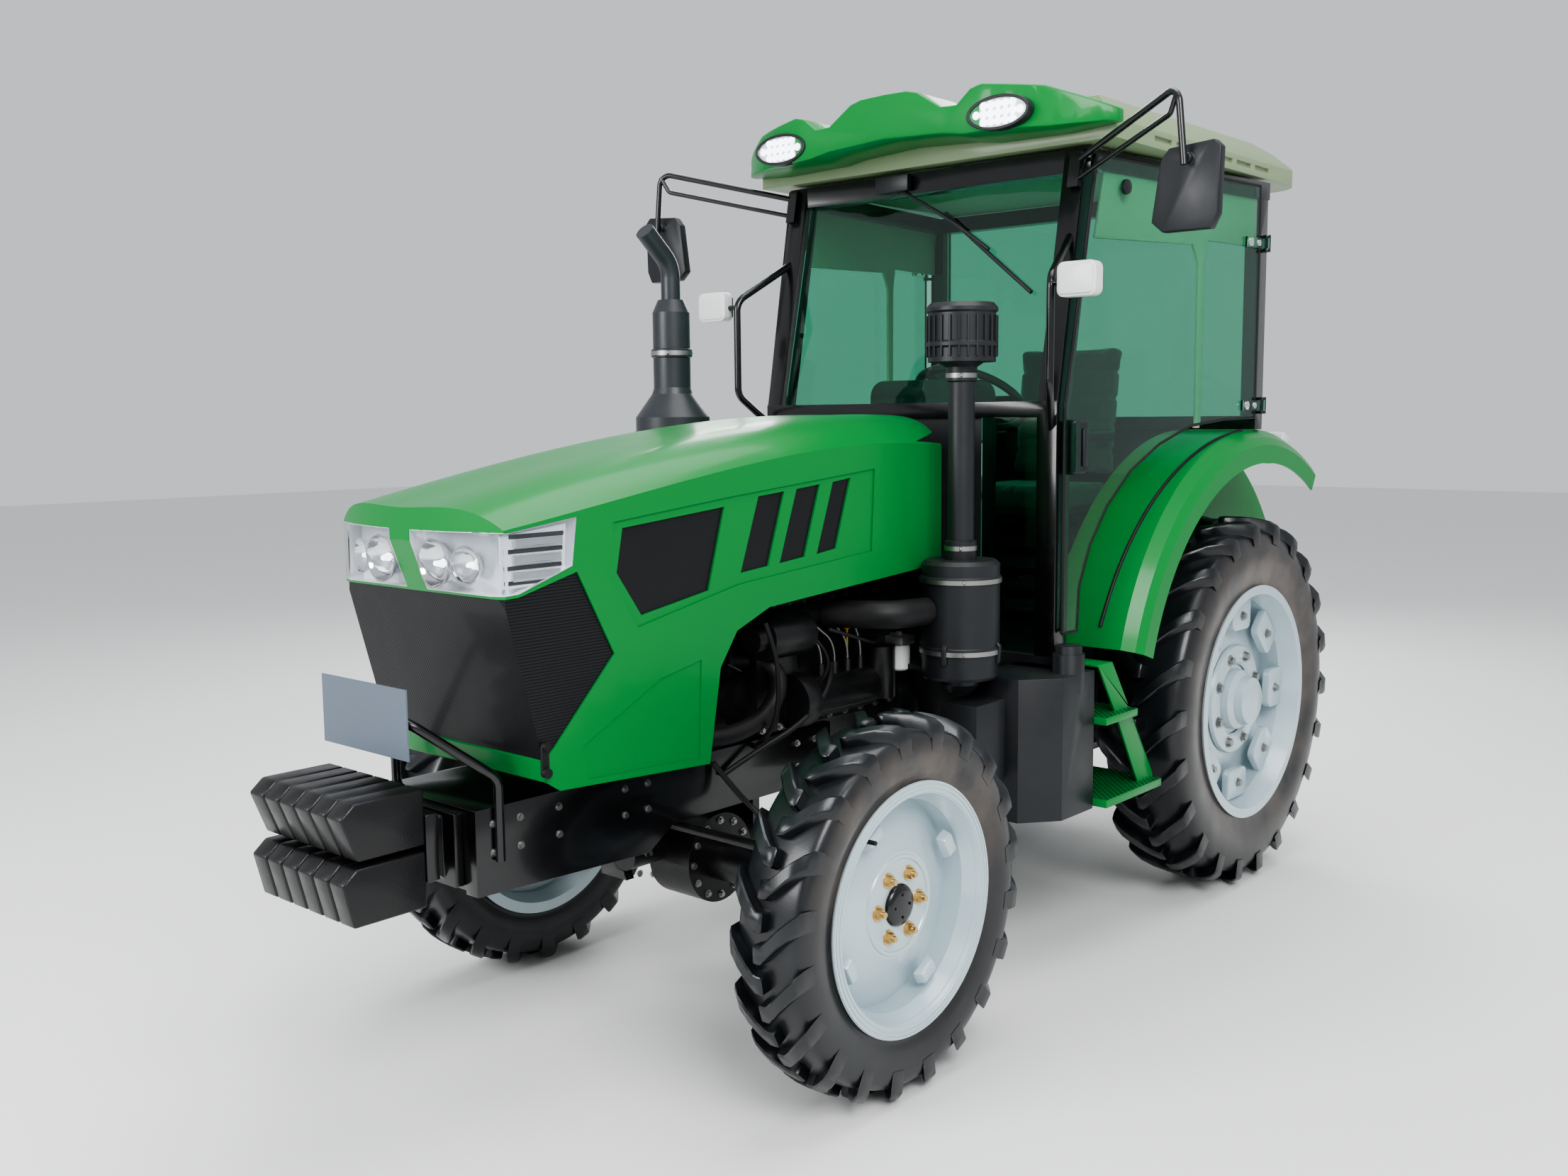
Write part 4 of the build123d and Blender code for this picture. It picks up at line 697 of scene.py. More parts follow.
edged(black_iron, 0.006, "front_weights transmission engine left_knuckle right_knuckle "
      "side_brackets drawbar lift_arms")
edged(black_gloss, 0.004, "front_frame weight_carrier cab_frame")
edged(moulded, 0.03, "fuel_tank")
edged(moulded, 0.014, "battery_box")
edged(moulded, 0.01, "mirror_heads dash")
edged(sage_paint, 0.012, "roof")
edged(green_paint, 0.007, "visor")
edged(green_paint, 0.002, "steps")
tread = softened("steps", 0.0)
cut_away(tread, lambda middle, normal: normal.z < 0.9 or middle.z > 0.9)
tread.data.transform(Matrix.Translation((0, 0, 0.0006)))
modify(tread, "SOLIDIFY", thickness=0.0006, offset=-1)
dress(tread, "step_treads", tread_mesh)
edged(beige_trim, 0.003, "cab_lining")
edged(alloy, 0.004, "radiator")

# %% [markdown]
# ## Bolts
# Fasteners tell the eye that parts were put together. A hexagon bolt is a six-sided bar that tapers
# a little, on a washer. One is made and copied wherever a row or circle of them is needed.

# %% Bolt
def bolt(place, axis, size):
    """Hexagon head on a washer, standing on place and pointing along axis."""
    place, axis = Vector(place), Vector(axis).normalized()
    head = bar(place, place + axis * size * 0.55, size / 2, 6, size * 0.47)
    return merged([head, bar(place, place + axis * size * 0.12, size * 0.68, 20)])


def bolt_row(places, axis, size):
    places = [Vector(place) for place in places]
    return shifted(bolt(places[0], axis, size), [place - places[0] for place in places])


# %% [markdown]
# ## Wheel discs
# The front disc is dished deep into the rim and held by six brass-coloured nuts round a black hub
# cap. The rear disc has a raised, lobed ring with eight nuts, so that the track can be changed.
# Round forms are turned on the wheel's axis, and pieces in a circle are built once and copied.

# %% Front hub caps, nuts and rim steps
def on_wheel(piece, wheel, label, finish_of):
    dress(piece, f"{wheel}_{label}", finish_of, body=f"{wheel}_wheel")


def disc_frame(wheel, face_y):
    """Way out of the tractor, middle of the disc's face and middle of the rim's outer edge."""
    low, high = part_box(f"{wheel}_rim")
    middle = (low + high) / 2
    side = 1 if middle.y > 0 else -1
    edge_y = max(abs(low.y), abs(high.y))
    return (Vector((0, side, 0)), Vector((middle.x, side * face_y, middle.z)),
            Vector((middle.x, side * edge_y, middle.z)))


def front_disc(wheel):
    out, face, flange = disc_frame(wheel, 0.772)
    seat = face + Vector((0, 0, 0.086))
    nut = merged([bolt(seat, out, 0.03), bar(seat, seat + out * 0.026, 0.008, 12)])
    on_wheel(turned(nut, face, out, 6, pi / 6), wheel, "nuts", brass)

    cap = lathe([(0, 0.056), (0.006, 0.055), (0.012, 0.05), (0.016, 0.038), (0.017, 0)],
                face, out, 40)
    cap_bolt = bolt(face + Vector((0.03, 0, 0)) + out * 0.015, out, 0.008)
    on_wheel(merged([cap, turned(cap_bolt, face, out, 4)]), wheel, "hub_cap", black_gloss)

    ring = lathe([(-0.002, 0.118), (0.004, 0.122), (0.004, 0.13), (-0.002, 0.134)], face, out)
    steps = [lathe([(-0.002, r - 0.004), (0.003, r - 0.002), (0.003, r + 0.002),
                    (-0.002, r + 0.004)], flange, out, 72) for r in (0.3035, 0.315, 0.326)]
    steps += [lathe([(0.005, r + 0.002), (0.003, r - 0.003), (-0.005, r - 0.004), (-0.008, r)],
                    flange - out * depth, out, 72)
              for depth, r in ((0.014, 0.2945), (0.03, 0.288))]
    lug = block((-0.038, -0.006, 0.214), (0.038, 0.02, 0.254))
    edit(lug, "FACE", towards(LEFT))
    bpy.ops.transform.resize(value=(0.7, 1, 0.8), center_override=(0, 0.02, 0.246))
    done()
    chamfer(lug, 0.004)
    if face.y < 0:
        mirrored(lug)
    lug.data.transform(Matrix.Translation(face))
    on_wheel(merged([ring, turned(lug, face, out, 4, 0.5)] + steps), wheel, "rim_steps",
             silver_paint)

    valve = face + Vector((0.15, 0, 0.205))
    on_wheel(bar(valve, valve + out * 0.045, 0.006), wheel, "valve", rubber)


# %% Rear discs: lobed ring, nuts and hub
def rear_disc(wheel):
    out, face, _ = disc_frame(wheel, 0.664)
    lobe = block(face + Vector((-0.075, 0, 0.262)), face + Vector((0.075, 0, 0.372)) + out * 0.03)
    round_edges(lobe, lambda place, run: abs(run.y) > 0.9 and place.z < face.z + 0.3, 0.028, 4)
    lobes = turned(chamfer(lobe, 0.005), face, out, 8)
    hub = lathe([(0, 0.115), (0.03, 0.11), (0.045, 0.092), (0.075, 0.086), (0.082, 0.076),
                 (0.084, 0)], face, out, 48)
    collar = lathe([(0, 0.205), (0.012, 0.2), (0.016, 0.19), (0.016, 0.14), (0.006, 0.13)],
                   face, out, 72)
    on_wheel(merged([lobes, hub, collar]), wheel, "disc_lobes", silver_paint)
    inner = bolt(face + Vector((0, 0, 0.166)) + out * 0.014, out, 0.032)
    inner = turned(inner, face, out, 8, pi / 8)
    outer = turned(bolt(face + Vector((0, 0, 0.315)) + out * 0.03, out, 0.026), face, out, 8)
    on_wheel(merged([inner, outer]), wheel, "nuts", zinc)


for word, _ in SIDES:
    front_disc(f"front_{word}")
for word, _ in SIDES:
    rear_disc(f"rear_{word}")

# %% [markdown]
# ## Headlamps
# A headlamp is a clear cover over a bright chromed bowl. The CAD solid has the right outline, so
# its outer skin, picked out by its normals, becomes the cover, and the rest becomes the housing.
# Turned reflectors and three chrome bars at the side are set behind the cover.

# %% Headlamp covers and housings
def faces_out(middle, normal):
    return (normal.x > 0.45 or normal.y * middle.y > 0.15) and abs(normal.z) < 0.7


def on_hood(piece, name, finish_of, stands_for=None):
    dress(piece, name, finish_of, stands_for, "hood_body")


lamp = softened("headlights", 0.0)
housing = copy_of(lamp)
cut_away(lamp, lambda middle, normal: not faces_out(middle, normal))
modify(lamp, "SOLIDIFY", thickness=0.003, offset=-1)
on_hood(lamp, "headlamp_covers", lamp_glass, stands_for="headlights")
cut_away(housing, faces_out)
modify(housing, "SOLIDIFY", thickness=0.0015, offset=0)
lamp_white = finish("lamp_housing", (0.8, 0.82, 0.85), 0.25, 0.1, metallic=0.45, bump=0.01,
                    dusty=0.0)
on_hood(housing, "headlamp_housings", lamp_white)

# %% Reflectors and bulbs
lamp_x, lamp_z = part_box("headlights")[1].x, 1.412
bowl = lathe([(-0.034, 0.012), (-0.032, 0.022), (-0.024, 0.038), (-0.01, 0.05), (0, 0.055),
              (0, 0.059), (-0.012, 0.054), (-0.028, 0.04), (-0.037, 0.022), (-0.037, 0),
              (-0.034, 0)], (lamp_x - 0.016, 0.108, lamp_z), FORWARD, 48)
small = lathe([(-0.03, 0.01), (-0.024, 0.026), (-0.01, 0.038), (0, 0.042), (0, 0.046),
               (-0.013, 0.041), (-0.028, 0.028), (-0.034, 0)],
              (lamp_x - 0.03, 0.215, lamp_z), (1, 0.25, 0), 40)
on_hood(both_sides(merged([bowl, small])), "headlamp_reflectors", chrome)
bulbs = [bar((lamp_x - 0.046, 0.108, lamp_z), (lamp_x - 0.022, 0.108, lamp_z), 0.01, 20, 0.006),
         bar((lamp_x - 0.056, 0.21, lamp_z), (lamp_x - 0.036, 0.215, lamp_z), 0.009, 20, 0.005)]
glow, tree, shader = new_material("lamp_glow")
cloud = add_node(tree, "Group", node_tree=grain).outputs["Cloud"]
feed(shader, {"Base Color": (0.95, 0.96, 1.0, 1), "Emission Strength": 2.6,
              "Emission Color": blend(tree, cloud, (1.0, 0.98, 0.94, 1), (0.92, 0.96, 1.0, 1))})
on_hood(both_sides(merged(bulbs)), "headlamp_bulbs", glow)

# %% The chrome bars at the side of each lamp
side_bar = block((1.672, 0.3145, 1.376), (1.812, 0.3205, 1.398))
step_face(side_bar, towards(LEFT), 0.004, (0, 0.0012, 0))
side_bars = shifted(side_bar, [(0, 0, 0), (-0.004, 0, 0.038), (-0.008, 0, 0.076)])
on_hood(both_sides(chamfer(side_bars, 0.0015, 1)), "headlamp_side_bars", chrome)
backing = plate([(1.655, 1.366), (1.835, 1.36), (1.835, 1.48), (1.645, 1.5)], 0.306, 0.31)
on_hood(both_sides(backing), "headlamp_side_backing", lamp_white)
slot_bar = chamfer(block((1.662, 0.309, 1.4015), (1.822, 0.3125, 1.4115)), 0.001, 1)
slot_bars = shifted(slot_bar, [(0, 0, -0.034), (0, 0, 0), (-0.004, 0, 0.038), (-0.008, 0, 0.072)])
on_hood(both_sides(slot_bars), "headlamp_side_slots", moulded)

# %% [markdown]
# ## Work lamps on the visor
# Two oval lamps sit in the visor's humps: a black rim, a bright bowl with rows of small white
# diodes, and a clear domed cover. The oval is a cylinder primitive, scaled, with its front face
# inset and pushed back.

# %% Work lamps
low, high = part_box("work_lamps")
lamp_front = Vector((high.x, high.y - 0.112, (low.z + high.z) / 2))


def oval(back, front, half_y, half_z, sides=56):
    """Oval drum between two depths, both measured from the lamp's front."""
    centre = lamp_front + Vector(((back + front) / 2, 0, 0))
    bpy.ops.mesh.primitive_cylinder_add(vertices=sides, radius=1, depth=front - back,
                                        location=centre, rotation=(0, pi / 2, 0))
    piece = settle(bpy.context.object)
    edit(piece, "VERT")
    bpy.ops.transform.resize(value=(1, half_y, half_z), center_override=centre)
    done()
    return piece


rim = oval(-0.036, -0.001, 0.112, 0.052)
step_face(rim, towards(FORWARD), 0.01, (-0.012, 0, 0))
dress(both_sides(chamfer(rim, 0.003)), "work_lamp_rims", moulded, "work_lamps")
dress(both_sides(oval(-0.0135, -0.0095, 0.101, 0.042)), "work_lamp_bowls", lamp_white)
spots = [(0, y * 0.026, z * 0.025) for z in (-1, 0, 1) for y in range(-3, 4)
         if abs(y) < 3 or z == 0]
diodes = shifted(oval(-0.0095, -0.006, 0.012, 0.012, 16), spots)
dress(both_sides(diodes), "work_lamp_diodes", glow)
cover = oval(-0.0055, -0.003, 0.1015, 0.0425)
edit(cover, "FACE", towards(FORWARD))
bpy.ops.mesh.inset(thickness=0.018, depth=0.0)
bpy.ops.transform.translate(value=(0.003, 0, 0))
done()
dress(both_sides(cover), "work_lamp_covers", lamp_glass)

# %% [markdown]
# ## Indicator lamps
# The white indicator lamps beside the windscreen are rounded boxes on a black base. The edges of a
# block that run forward get a wide bevel, and its front face is inset and pushed out.

# %% Indicator lamps
lamp = block((0.026, 0.676, 2.084), (0.068, 0.806, 2.186))
round_edges(lamp, running(FORWARD), 0.022, 5)
step_face(lamp, towards(FORWARD), 0.008, (0.006, 0, 0))
lamp = chamfer(lamp, 0.004, 3)
lamp_base = chamfer(block((0.004, 0.69, 2.098), (0.026, 0.792, 2.172)), 0.006)
rear_lamps = softened("marker_lamps", 0.0)
cut_away(rear_lamps, lambda middle, normal: middle.x > -0.5)
chamfer(rear_lamps, 0.01, 3)
dress(merged([both_sides(lamp), rear_lamps]), "indicator_lamps", white_tin, "marker_lamps")
dress(both_sides(lamp_base), "indicator_bases", moulded)

# %% [markdown]
# ## The cab's small parts
# A wiper hangs in front of the windscreen, a thin rubber edge runs round each frameless glass door,
# and a big black latch sits at the door's front edge. The hinges carry bright caps. A stub aerial
# stands on the roof.

# %% Wiper
arm = pipe([(-0.238, -0.13, 2.52), (-0.216, -0.1, 2.5), (-0.172, 0.129, 2.385),
            (-0.174, 0.279, 2.275)], 0.006)
boss = bar((-0.25, -0.13, 2.52), (-0.214, -0.13, 2.514), 0.02)
motor = chamfer(block((-0.216, -0.2, 2.5), (-0.19, -0.06, 2.556)), 0.006)
blade = pipe([(-0.15, 0.455, 2.126), (-0.171, 0.27, 2.268), (-0.208, 0.085, 2.41)], 0.007)
dress(merged([motor, arm, boss, blade]), "wiper", moulded)

# %% Door edges, latches and hinge caps
LEAN = 0.12 / 1.18
RUN = hypot(1, LEAN)
DOOR_EDGE = [(1.01, 2.54), (1.16, 1.764), (1.16, 1.06), (1.085, 1.06), (1.075, 1.2), (1.02, 1.33),
             (0.93, 1.45), (0.8, 1.56), (0.64, 1.64), (0.45, 1.7), (0.24, 1.72), (0.03, 1.725),
             (0.03, 2.54)]


def door_point(along, z, outward):
    """A place on the left door: along its width from the rear pillar, at a height, outward."""
    return Vector((-1.25 + (along + outward * LEAN) / RUN,
                   0.72 + (outward - along * LEAN) / RUN, z))


def door_bar(along, heights, outward, width, segments):
    """Block with broken edges that follows the door's leaning plane."""
    piece = block((0, outward[0], heights[0]), (along[1] - along[0], outward[1], heights[1]))
    turn = Matrix.Rotation(-atan2(LEAN, 1), 4, "Z")
    piece.data.transform(Matrix.Translation(door_point(along[0], 0, 0)) @ turn)
    return chamfer(piece, width, segments)


def door_cap(outline, along, z, outward, steps):
    return lathe(outline, door_point(along, z, outward),
                 door_point(0, 0, 1) - door_point(0, 0, 0), steps)


for word, side in SIDES:
    edge = [bar(door_point(*start, 0.011), door_point(*end, 0.011), 0.0055, 8)
            for start, end in zip(DOOR_EDGE, DOOR_EDGE[1:] + DOOR_EDGE[:1])]
    latch = [door_bar((1.075, 1.145), (1.555, 1.725), (0.014, 0.04), 0.01, 3),
             door_bar((1.09, 1.112), (1.58, 1.7), (0.04, 0.052), 0.005, 2)]
    caps = []
    for z in (1.768, 2.34):
        caps += [door_cap([(0, 0.016), (0.005, 0.015), (0.008, 0.01), (0.0085, 0)],
                          0.105, z, 0.024, 24),
                 door_cap([(0, 0.012), (0.004, 0.011), (0.006, 0)], 0.05, z, 0.024, 20)]
    knob = [door_cap([(0, 0.024), (0.01, 0.023), (0.013, 0.016), (0.014, 0)],
                     0.86, 2.455, 0.012, 28)]
    for pieces, label, finish_of, slot in (
            (edge, "edge", rubber, "hose"), (knob, "knob", moulded, "plastic"),
            (latch, "latch", moulded, "plastic"), (caps, "hinge_caps", chrome, "silver")):
        piece = merged(pieces)
        if side < 0:
            mirrored(piece)
        dress(piece, f"{word}_door_{label}", finish_of, body=f"{word}_door_body")

# %% Aerial
aerial = lathe([(0, 0.016), (0.012, 0.012), (0.018, 0.005), (0.056, 0.004), (0.058, 0)],
               (-0.409, 0.45, 2.708), UP, 20)
dress(aerial, "aerial", moulded)

# %% [markdown]
# ## Hood latches
# A black rubber latch holds the hood down at each side of the nose. It tilts with the hood.

# %% Latches
strap = block((1.728, 0.3235, 0.915), (1.752, 0.33, 0.99))
round_edges(strap, running(LEFT), 0.009, 4)
chamfer(strap, 0.002, 1)
hook = bar((1.74, 0.325, 0.985), (1.74, 0.339, 0.985), 0.01, 20)
foot = bar((1.74, 0.325, 0.922), (1.74, 0.34, 0.922), 0.012, 20)
on_hood(both_sides(merged([strap, hook, foot])), "hood_latches", rubber)

# %% [markdown]
# ## Air cleaner, stack and exhaust
# Clamps close the air cleaner and hold the stack, catches grip the cleaner's foot, ribs run round
# the precleaner, and the exhaust's canister has weld seams. A clamp is a thin turned band with a
# small bolt on it.

# %% Clamps, catches, ribs and seams
CLEANER, EXHAUST = (0.225, 0.45), (0.527, -0.475)


def clamp(x, y, z, radius):
    centre, up = Vector((x, y, z)), Vector(UP)
    inner, outer = radius - 0.0005, radius + 0.0012
    band = lathe([(-0.007, inner), (-0.007, outer), (0.007, outer), (0.007, inner)], centre, up, 48)
    out = Vector((0.72, 0.69, 0))
    along = up.cross(out)
    return merged([band, bolt(centre + out * (radius + 0.004) - along * 0.012, along, 0.011)])


bands = [clamp(*CLEANER, z, radius) for z, radius in
         ((1.345, 0.0485), (1.86, 0.0465), (1.035, 0.1235), (1.25, 0.1235))]
dress(merged(bands + [clamp(*EXHAUST, 1.95, 0.0665)]), "clamps", zinc)
wing = plate([(0.335, 1), (0.352, 1), (0.356, 1.052), (0.345, 1.066), (0.335, 1.06)],
             0.442, 0.458)
wings = turned(chamfer(wing, 0.003, 1), (*CLEANER, 1), UP, 4, 0.2, 1.6)
dress(wings, "cleaner_catches", moulded)
rib = chamfer(block((0.322, 0.447, 1.915), (0.3325, 0.453, 2.035)), 0.001, 1)
dress(turned(rib, (*CLEANER, 1), UP, 24), "precleaner_ribs", moulded)
seams = [lathe([(-0.003, 0.1195), (0, 0.1225), (0.003, 0.1195)], (*EXHAUST, z), UP, 72)
         for z in (1.29, 1.7)]
dress(merged(seams), "exhaust_seams", grey_black)

# %% [markdown]
# ## The open engine bay
# Between the hood and the front wheel the engine lies open: coolant hoses, a white fuel filter, a
# yellow oil cap, fuel pipes, cables and rows of bolts. Hoses are smooth curves with a round section
# that run from stub to stub. They are fixed parts and move with nothing, so they ride on the
# chassis.

# %% Hoses and pipes
HOSES = (
    [(1.26, 0.2, 0.885), (1.15, 0.21, 0.88), (1, 0.235, 0.87), (0.86, 0.235, 0.905),
     (0.79, 0.225, 1), (0.82, 0.17, 1.06), (0.868, 0.11, 1.05)],
    [(1.215, 0.19, 1.29), (1.12, 0.2, 1.292), (1, 0.17, 1.275), (0.88, 0.12, 1.25),
     (0.8, 0.08, 1.235)],
)
CABLES = (
    (0.007, [(0.926, 0.285, 1.18), (0.9, 0.3, 1.1), (0.885, 0.3, 0.98), (0.89, 0.28, 0.86),
             (0.88, 0.18, 0.8)]),
    (0.008, [(0.56, 0.215, 1.01), (0.62, 0.27, 0.96), (0.76, 0.275, 0.87), (0.9, 0.23, 0.81),
             (1.02, 0.208, 0.76)]),
    (0.006, [(0.35, 0.23, 1.07), (0.42, 0.285, 1.06), (0.52, 0.285, 1.09), (0.6, 0.24, 1.12)]),
    (0.005, [(0.7, 0.215, 1.14), (0.64, 0.262, 1.08), (0.62, 0.26, 0.99), (0.66, 0.215, 0.93)]),
    (0.008, [(1.06, 0.208, 0.8), (1, 0.25, 0.7), (0.96, 0.3, 0.64), (0.985, 0.36, 0.6)]),
)
hoses = [pipe(points, 0.026, 8) for points in HOSES]
dress(merged(hoses), "coolant_hoses", rubber)
cables = [pipe(points, radius) for radius, points in CABLES]
dress(merged(cables), "cables", rubber)
fuel_pipes = [pipe([(0.42 + i * 0.062, 0.215, 1.01), (0.425 + i * 0.062, 0.222, 1.06 + i * 0.008),
                    (0.44 + i * 0.09, 0.2, 1.13), (0.445 + i * 0.095, 0.152, 1.18)], 0.0038)
              for i in range(4)]
dress(merged(fuel_pipes), "fuel_pipes", zinc)

# %% Filter, caps, bolts and belt
filter_x, filter_y = 0.285, 0.262
fuel_filter = lathe([(0, 0), (0, 0.026), (0.006, 0.034), (0.07, 0.035), (0.078, 0.032), (0.08, 0)],
                    (filter_x, filter_y, 0.96), UP, 40)
dress(fuel_filter, "fuel_filter", white_tin)
filter_head = chamfer(block((0.25, 0.19, 1.04), (0.32, 0.3, 1.068)), 0.006)
dress(merged([filter_head, bolt((filter_x, filter_y, 1.066), UP, 0.022)]), "fuel_filter_head",
      alloy)
oil_cap = lathe([(0, 0.03), (0.012, 0.03), (0.016, 0.026), (0.017, 0)], (0.64, 0.04, 1.325), UP, 24)
dipstick = [lathe([(0, 0.006), (0.004, 0.013), (0.018, 0.013), (0.022, 0)], (0.48, 0.212, 1.105),
                  UP, 16), bar((0.48, 0.212, 0.98), (0.48, 0.212, 1.108), 0.0035, 10)]
dress(merged([oil_cap] + dipstick), "oil_caps", yellow_cap)
rows = (
    ([(0.27 + i * 0.068, 0.15, z) for i in range(9) for z in (1.105, 1.195)], 0.013),
    ([(0.24 + i * 0.075, 0.19, 0.85) for i in range(9)], 0.016),
    ([(-0.35 + i * 0.07, 0.21, z) for i in range(7) for z in (0.65, 0.905)], 0.02),
    ([(x, 0.2, z) for x in (0.62, 0.7, 1.3, 1.38, 1.6, 1.72, 1.8) for z in (0.72, 0.79)], 0.015),
)
bolts = merged([bolt_row(places, LEFT, size) for places, size in rows])
dress(both_sides(bolts), "bolts", zinc)
belt = lathe([(0, 0.071), (0, 0.075), (0.012, 0.075), (0.012, 0.071)], (0.9, 0.06, 1.05), FORWARD,
             48)
dress(belt, "belt", rubber)

# %% [markdown]
# ## Axle bolts and gaiters
# The front axle has bolts round its centre housing and a rubber gaiter towards each wheel hub. They
# show between the weights and the wheel.

# %% Axle trims
AXLE_X, AXLE_Z = 0.966, 0.497
hub_bolt = bolt((AXLE_X, 0.14, AXLE_Z + 0.108), LEFT, 0.016)
dress(both_sides(turned(hub_bolt, (AXLE_X, 0, AXLE_Z), LEFT, 12)), "axle_bolts", zinc)
gaiter = lathe([(0, 0.066), (0.006, 0.072), (0.012, 0.064), (0.02, 0.072), (0.028, 0.064),
                (0.036, 0.07), (0.042, 0.06)], (AXLE_X, 0.505, AXLE_Z), LEFT, 40)
dress(both_sides(gaiter), "axle_gaiters", rubber)

# %% [markdown]
# ## Fenders
# The fender is one pressing. A black rubber bead runs along its inner edge, where the door's glass
# follows it.

# %% Fender beads
reach = 1.003
bead = pipe([(-1.25 + reach * cos(radians(a)), 0.716 - 0.1 * reach * cos(radians(a)),
              0.681 + reach * sin(radians(a))) for a in range(22, 92, 7)], 0.006)
dress(both_sides(bead), "fender_beads", rubber)

# %% [markdown]
# ## Driver's seat
# The seat is soft: a cushion and a back of foam under cloth, crowned, with sewn channels. Each
# starts as a block cut into a grid, is rounded, and is blown up a little by a cloth simulation. Its
# channels are pulled in last. Armrests and a rubber bellows finish the seat.

# %% Seat finish and pads
seat_cloth, tree, shader, _, _, relief = layered("seat_cloth", (0.03, 0.031, 0.036), 0.8, 0.1,
                                                 bump=0.25, fine=900.0, dusty=0.12)
weave = add_node(tree, "TexWave", {"Vector": object_place(tree), "Scale": 160.0,
                                   "Distortion": 1.5}, bands_direction="DIAGONAL")
feed(relief, {"Height": weave.outputs["Fac"], "Strength": 0.35})
feed(shader, {"Sheen Weight": 0.3})
ROUNDING, PUFF, CHANNELS, DEPTH = 0.012, 0.012, 5, 0.05


def pad(low, high, along):
    """Foam pad between two corners, with sewn channels across the axis with this number."""
    low, high = Vector(low), Vector(high)
    margin = Vector((ROUNDING,) * 3)
    piece = block(low + margin, high - margin)
    edit(piece)
    bpy.ops.mesh.subdivide(number_cuts=3)
    done()
    chamfer(piece, 0.02, 3, 60)
    modify(piece, "REMESH", mode="VOXEL", voxel_size=0.008)
    before = [corner.co.copy() for corner in piece.data.vertices]
    only(piece)
    cloth = piece.modifiers.new("Cloth", "CLOTH")
    cloth.settings.use_pressure = True
    cloth.settings.uniform_pressure_force = 4.0
    cloth.settings.effector_weights.gravity = 0
    for step in range(1, 15):
        bpy.context.scene.frame_set(step)
    bpy.ops.object.modifier_apply(modifier=cloth.name)
    bpy.context.scene.frame_set(1)
    for corner, start in zip(piece.data.vertices, before):
        move = corner.co - start
        if move.length > PUFF:
            corner.co = start + move.normalized() * PUFF
    middle = (low + high) / 2
    for corner in piece.data.vertices:
        share = (corner.co[along] - low[along]) / (high[along] - low[along])
        channel = max(0.0, 1 - abs(round(share * CHANNELS) - share * CHANNELS) * 9)
        if 0.12 < share < 0.88:
            corner.co -= (corner.co - middle) * DEPTH * channel
    return modify(piece, "SUBSURF", levels=1, render_levels=1)


# %% Seat
x = -0.92
cushion = pad((x - 0.225, -0.245, 1.385), (x + 0.255, 0.245, 1.485), 1)
back = pad((x - 0.245, -0.225, 1.5), (x - 0.15, 0.225, 2.015), 2)
back.data.transform(about((x - 0.19, 0, 1.48), Matrix.Rotation(radians(-7), 4, "Y")))
rests = [chamfer(block((x - 0.16, y, 1.64), (x + 0.13, y + 0.03, 1.68)), 0.012, 3)
         for y in (-0.25, 0.22)]
bellows = lathe([(0, 0.15), (0.02, 0.16), (0.06, 0.13), (0.1, 0.165), (0.14, 0.13), (0.18, 0.165),
                 (0.22, 0.13), (0.26, 0.165), (0.3, 0.13), (0.34, 0.16), (0.38, 0.15), (0.385, 0)],
                (x, 0, 0.995), UP, 40)
shell = chamfer(block((x - 0.21, -0.225, 1.372), (x + 0.24, 0.225, 1.396)), 0.01)
dress(cushion, "seat_cushion", seat_cloth, "seat", angle=60)
dress(back, "seat_back", seat_cloth, angle=60)
dress(merged([shell, bellows] + rests), "seat_frame", moulded)

# %% [markdown]
# ## Dashboard cowl
# A dark cowl arches over the instruments behind the windscreen. A block's long top edges get a wide
# bevel, and its rear face is inset and pushed in, which leaves a visor over the dials.

# %% Cowl
cowl = block((-0.345, -0.2, 1.78), (-0.165, 0.2, 1.862))
round_edges(cowl, lambda place, run: abs(run.x) > 0.9 and place.z > 1.85, 0.055, 8)
step_face(cowl, towards(BACK), 0.008, (0.05, 0, 0))
dress(chamfer(cowl, 0.004), "dash_cowl", moulded)
dials = [lathe([(0, 0.03), (0.004, 0.031), (0.006, 0.028), (0.003, 0.026), (0.003, 0)],
               (-0.296, y, 1.815), BACK, 32) for y in (-0.1, 0, 0.1)]
dress(merged(dials), "dials", chrome)

# %% [markdown]
# ## Rear linkage trims
# Two lugs hold the linkage's top pin, bolts hold the drawbar, and a guard covers the power shaft.

# %% Linkage trims
top_lugs = plate([(-1.545, 1.01), (-1.6, 1.04), (-1.6, 1.09), (-1.54, 1.086)], 0.03, 0.045)
dress(both_sides(top_lugs), "top_link_lugs", black_iron)
dress(bolt_row([(-1.5, y, 0.5) for y in (-0.047, 0.047)], (0, 0, -1), 0.02), "drawbar_bolts",
      zinc)
guard = lathe([(0, 0.058), (0.09, 0.062), (0.09, 0.065), (0, 0.062)], (-1.52, 0, 0.64), BACK, 40)
dress(guard, "power_shaft_guard", moulded)

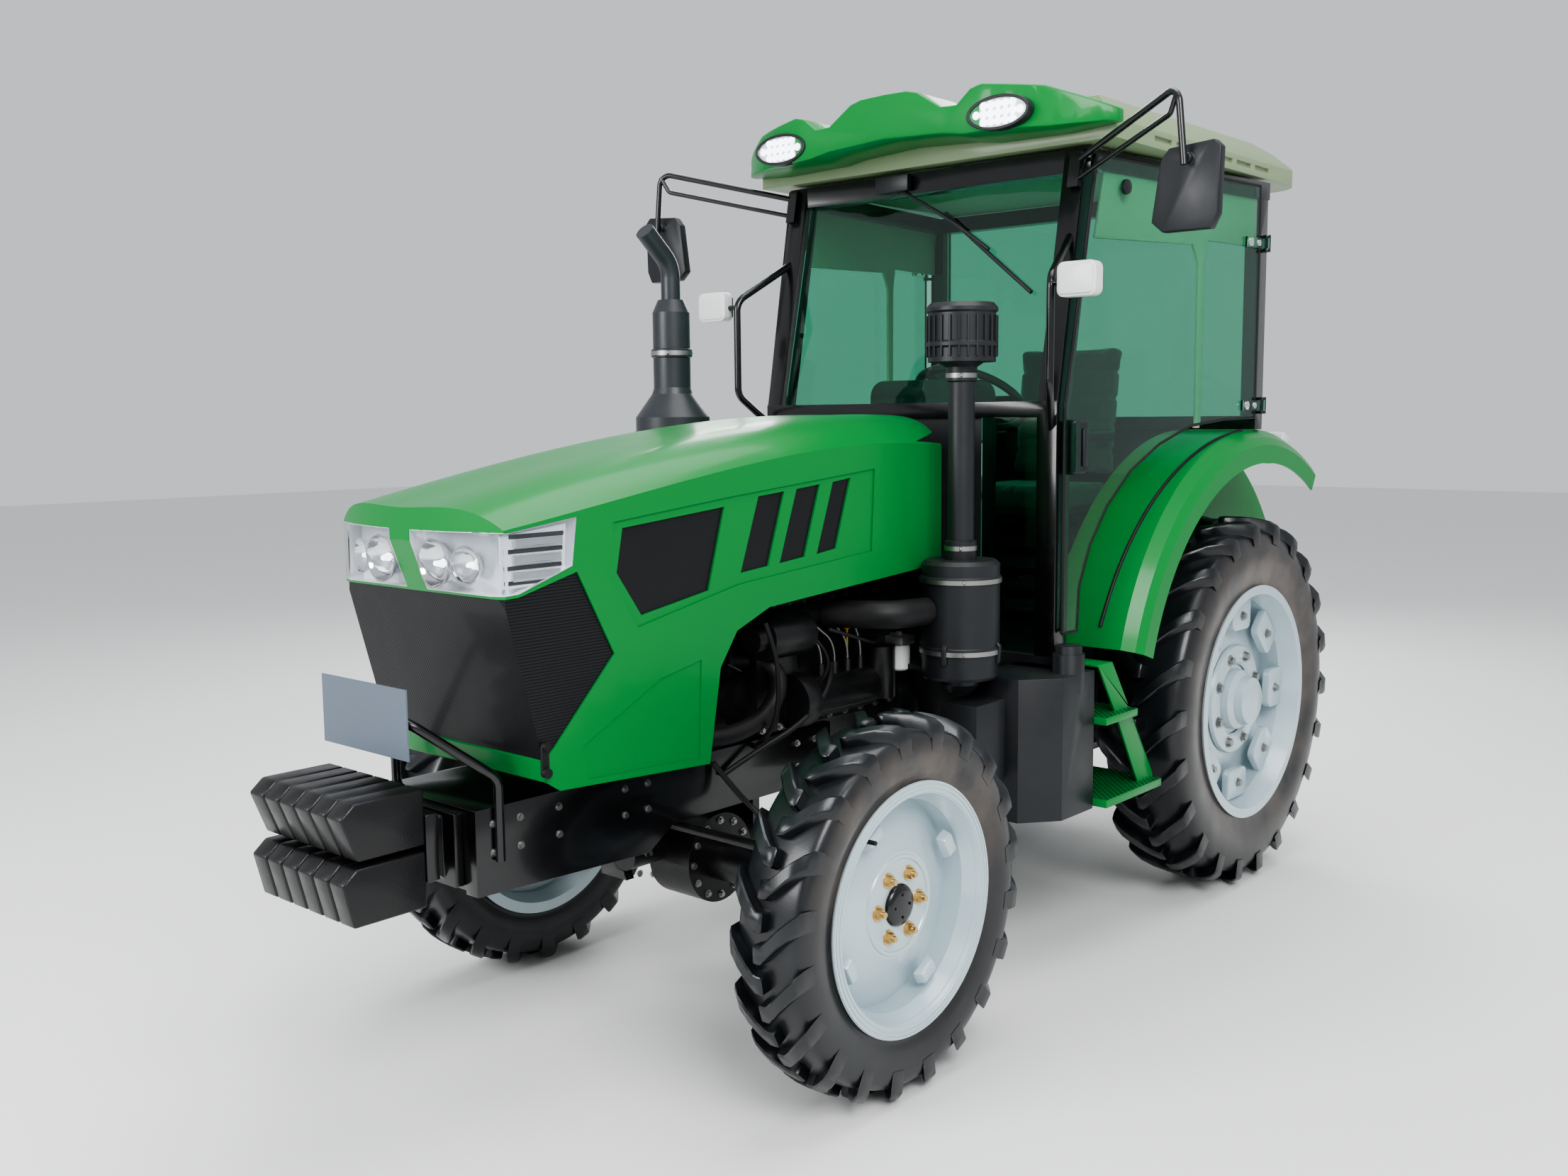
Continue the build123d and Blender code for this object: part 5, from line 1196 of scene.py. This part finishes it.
# %% [markdown]
# ## Camera, floor and light
# The camera stands where the photograph was taken: to the left of the nose, at about head height.
# Its place and lens were solved from points on the wheels and on both sides of the tractor. The
# floor is pale and runs to a soft horizon, and big soft lamps stand in for a studio's light boxes.

# %% Camera
def look(place, yaw, pitch, roll):
    forward = Vector((cos(pitch) * cos(yaw), cos(pitch) * sin(yaw), sin(pitch)))
    right = forward.cross(UP).normalized()
    above = right.cross(forward)
    turned_right = cos(roll) * right + sin(roll) * above
    turned_up = -sin(roll) * right + cos(roll) * above
    matrix = Matrix((turned_right, turned_up, -forward)).transposed().to_4x4()
    matrix.translation = place
    return matrix


scene = bpy.context.scene
lens = bpy.data.cameras.new("camera")
lens.sensor_width = 36
lens.lens = 33.1
camera = bpy.data.objects.new("camera", lens)
scene.collection.objects.link(camera)
camera.matrix_world = look((3.832, 2.93, 1.742), radians(221.54), radians(-6.76), radians(-0.53))
scene.camera = camera
scene.view_settings.look = "AgX - Medium High Contrast"

# %% Floor
bpy.ops.mesh.primitive_plane_add(size=60, location=(0, 0, 0))
floor = bpy.context.object
floor.name = "floor"
floor.data.materials.append(finish("floor_paint", (0.8, 0.8, 0.79), 0.8, 0.1, bump=0.01,
                                   scale=0.6, fine=60.0, dusty=0.0))

# %% Lights
for name, place, aim, width, height, power in (
        ("key_light", (3.5, 5.5, 5.5), (0.2, 0, 1), 4, 3, 430),
        ("nose_light", (7, -1.5, 3.5), (1.2, 0, 1), 3, 3, 300),
        ("top_light", (-0.5, 0.5, 7), (0, 0, 1), 6, 4, 260),
        ("back_light", (-5.5, -4, 4.5), (-0.5, 0, 1.4), 4, 3, 260)):
    light = bpy.data.lights.new(name, "AREA")
    light.shape = "RECTANGLE"
    light.size, light.size_y = width, height
    light.energy = power
    lamp = bpy.data.objects.new(name, light)
    scene.collection.objects.link(lamp)
    lamp.visible_camera = lamp.visible_transmission = False
    lamp.location = place
    lamp.rotation_euler = (Vector(aim) - Vector(place)).to_track_quat("-Z", "Y").to_euler()

world = bpy.data.worlds.new("studio")
scene.world = world
world.use_nodes = True
feed(world.node_tree.nodes["Background"], {"Color": (0.86, 0.89, 0.92, 1), "Strength": 0.72})
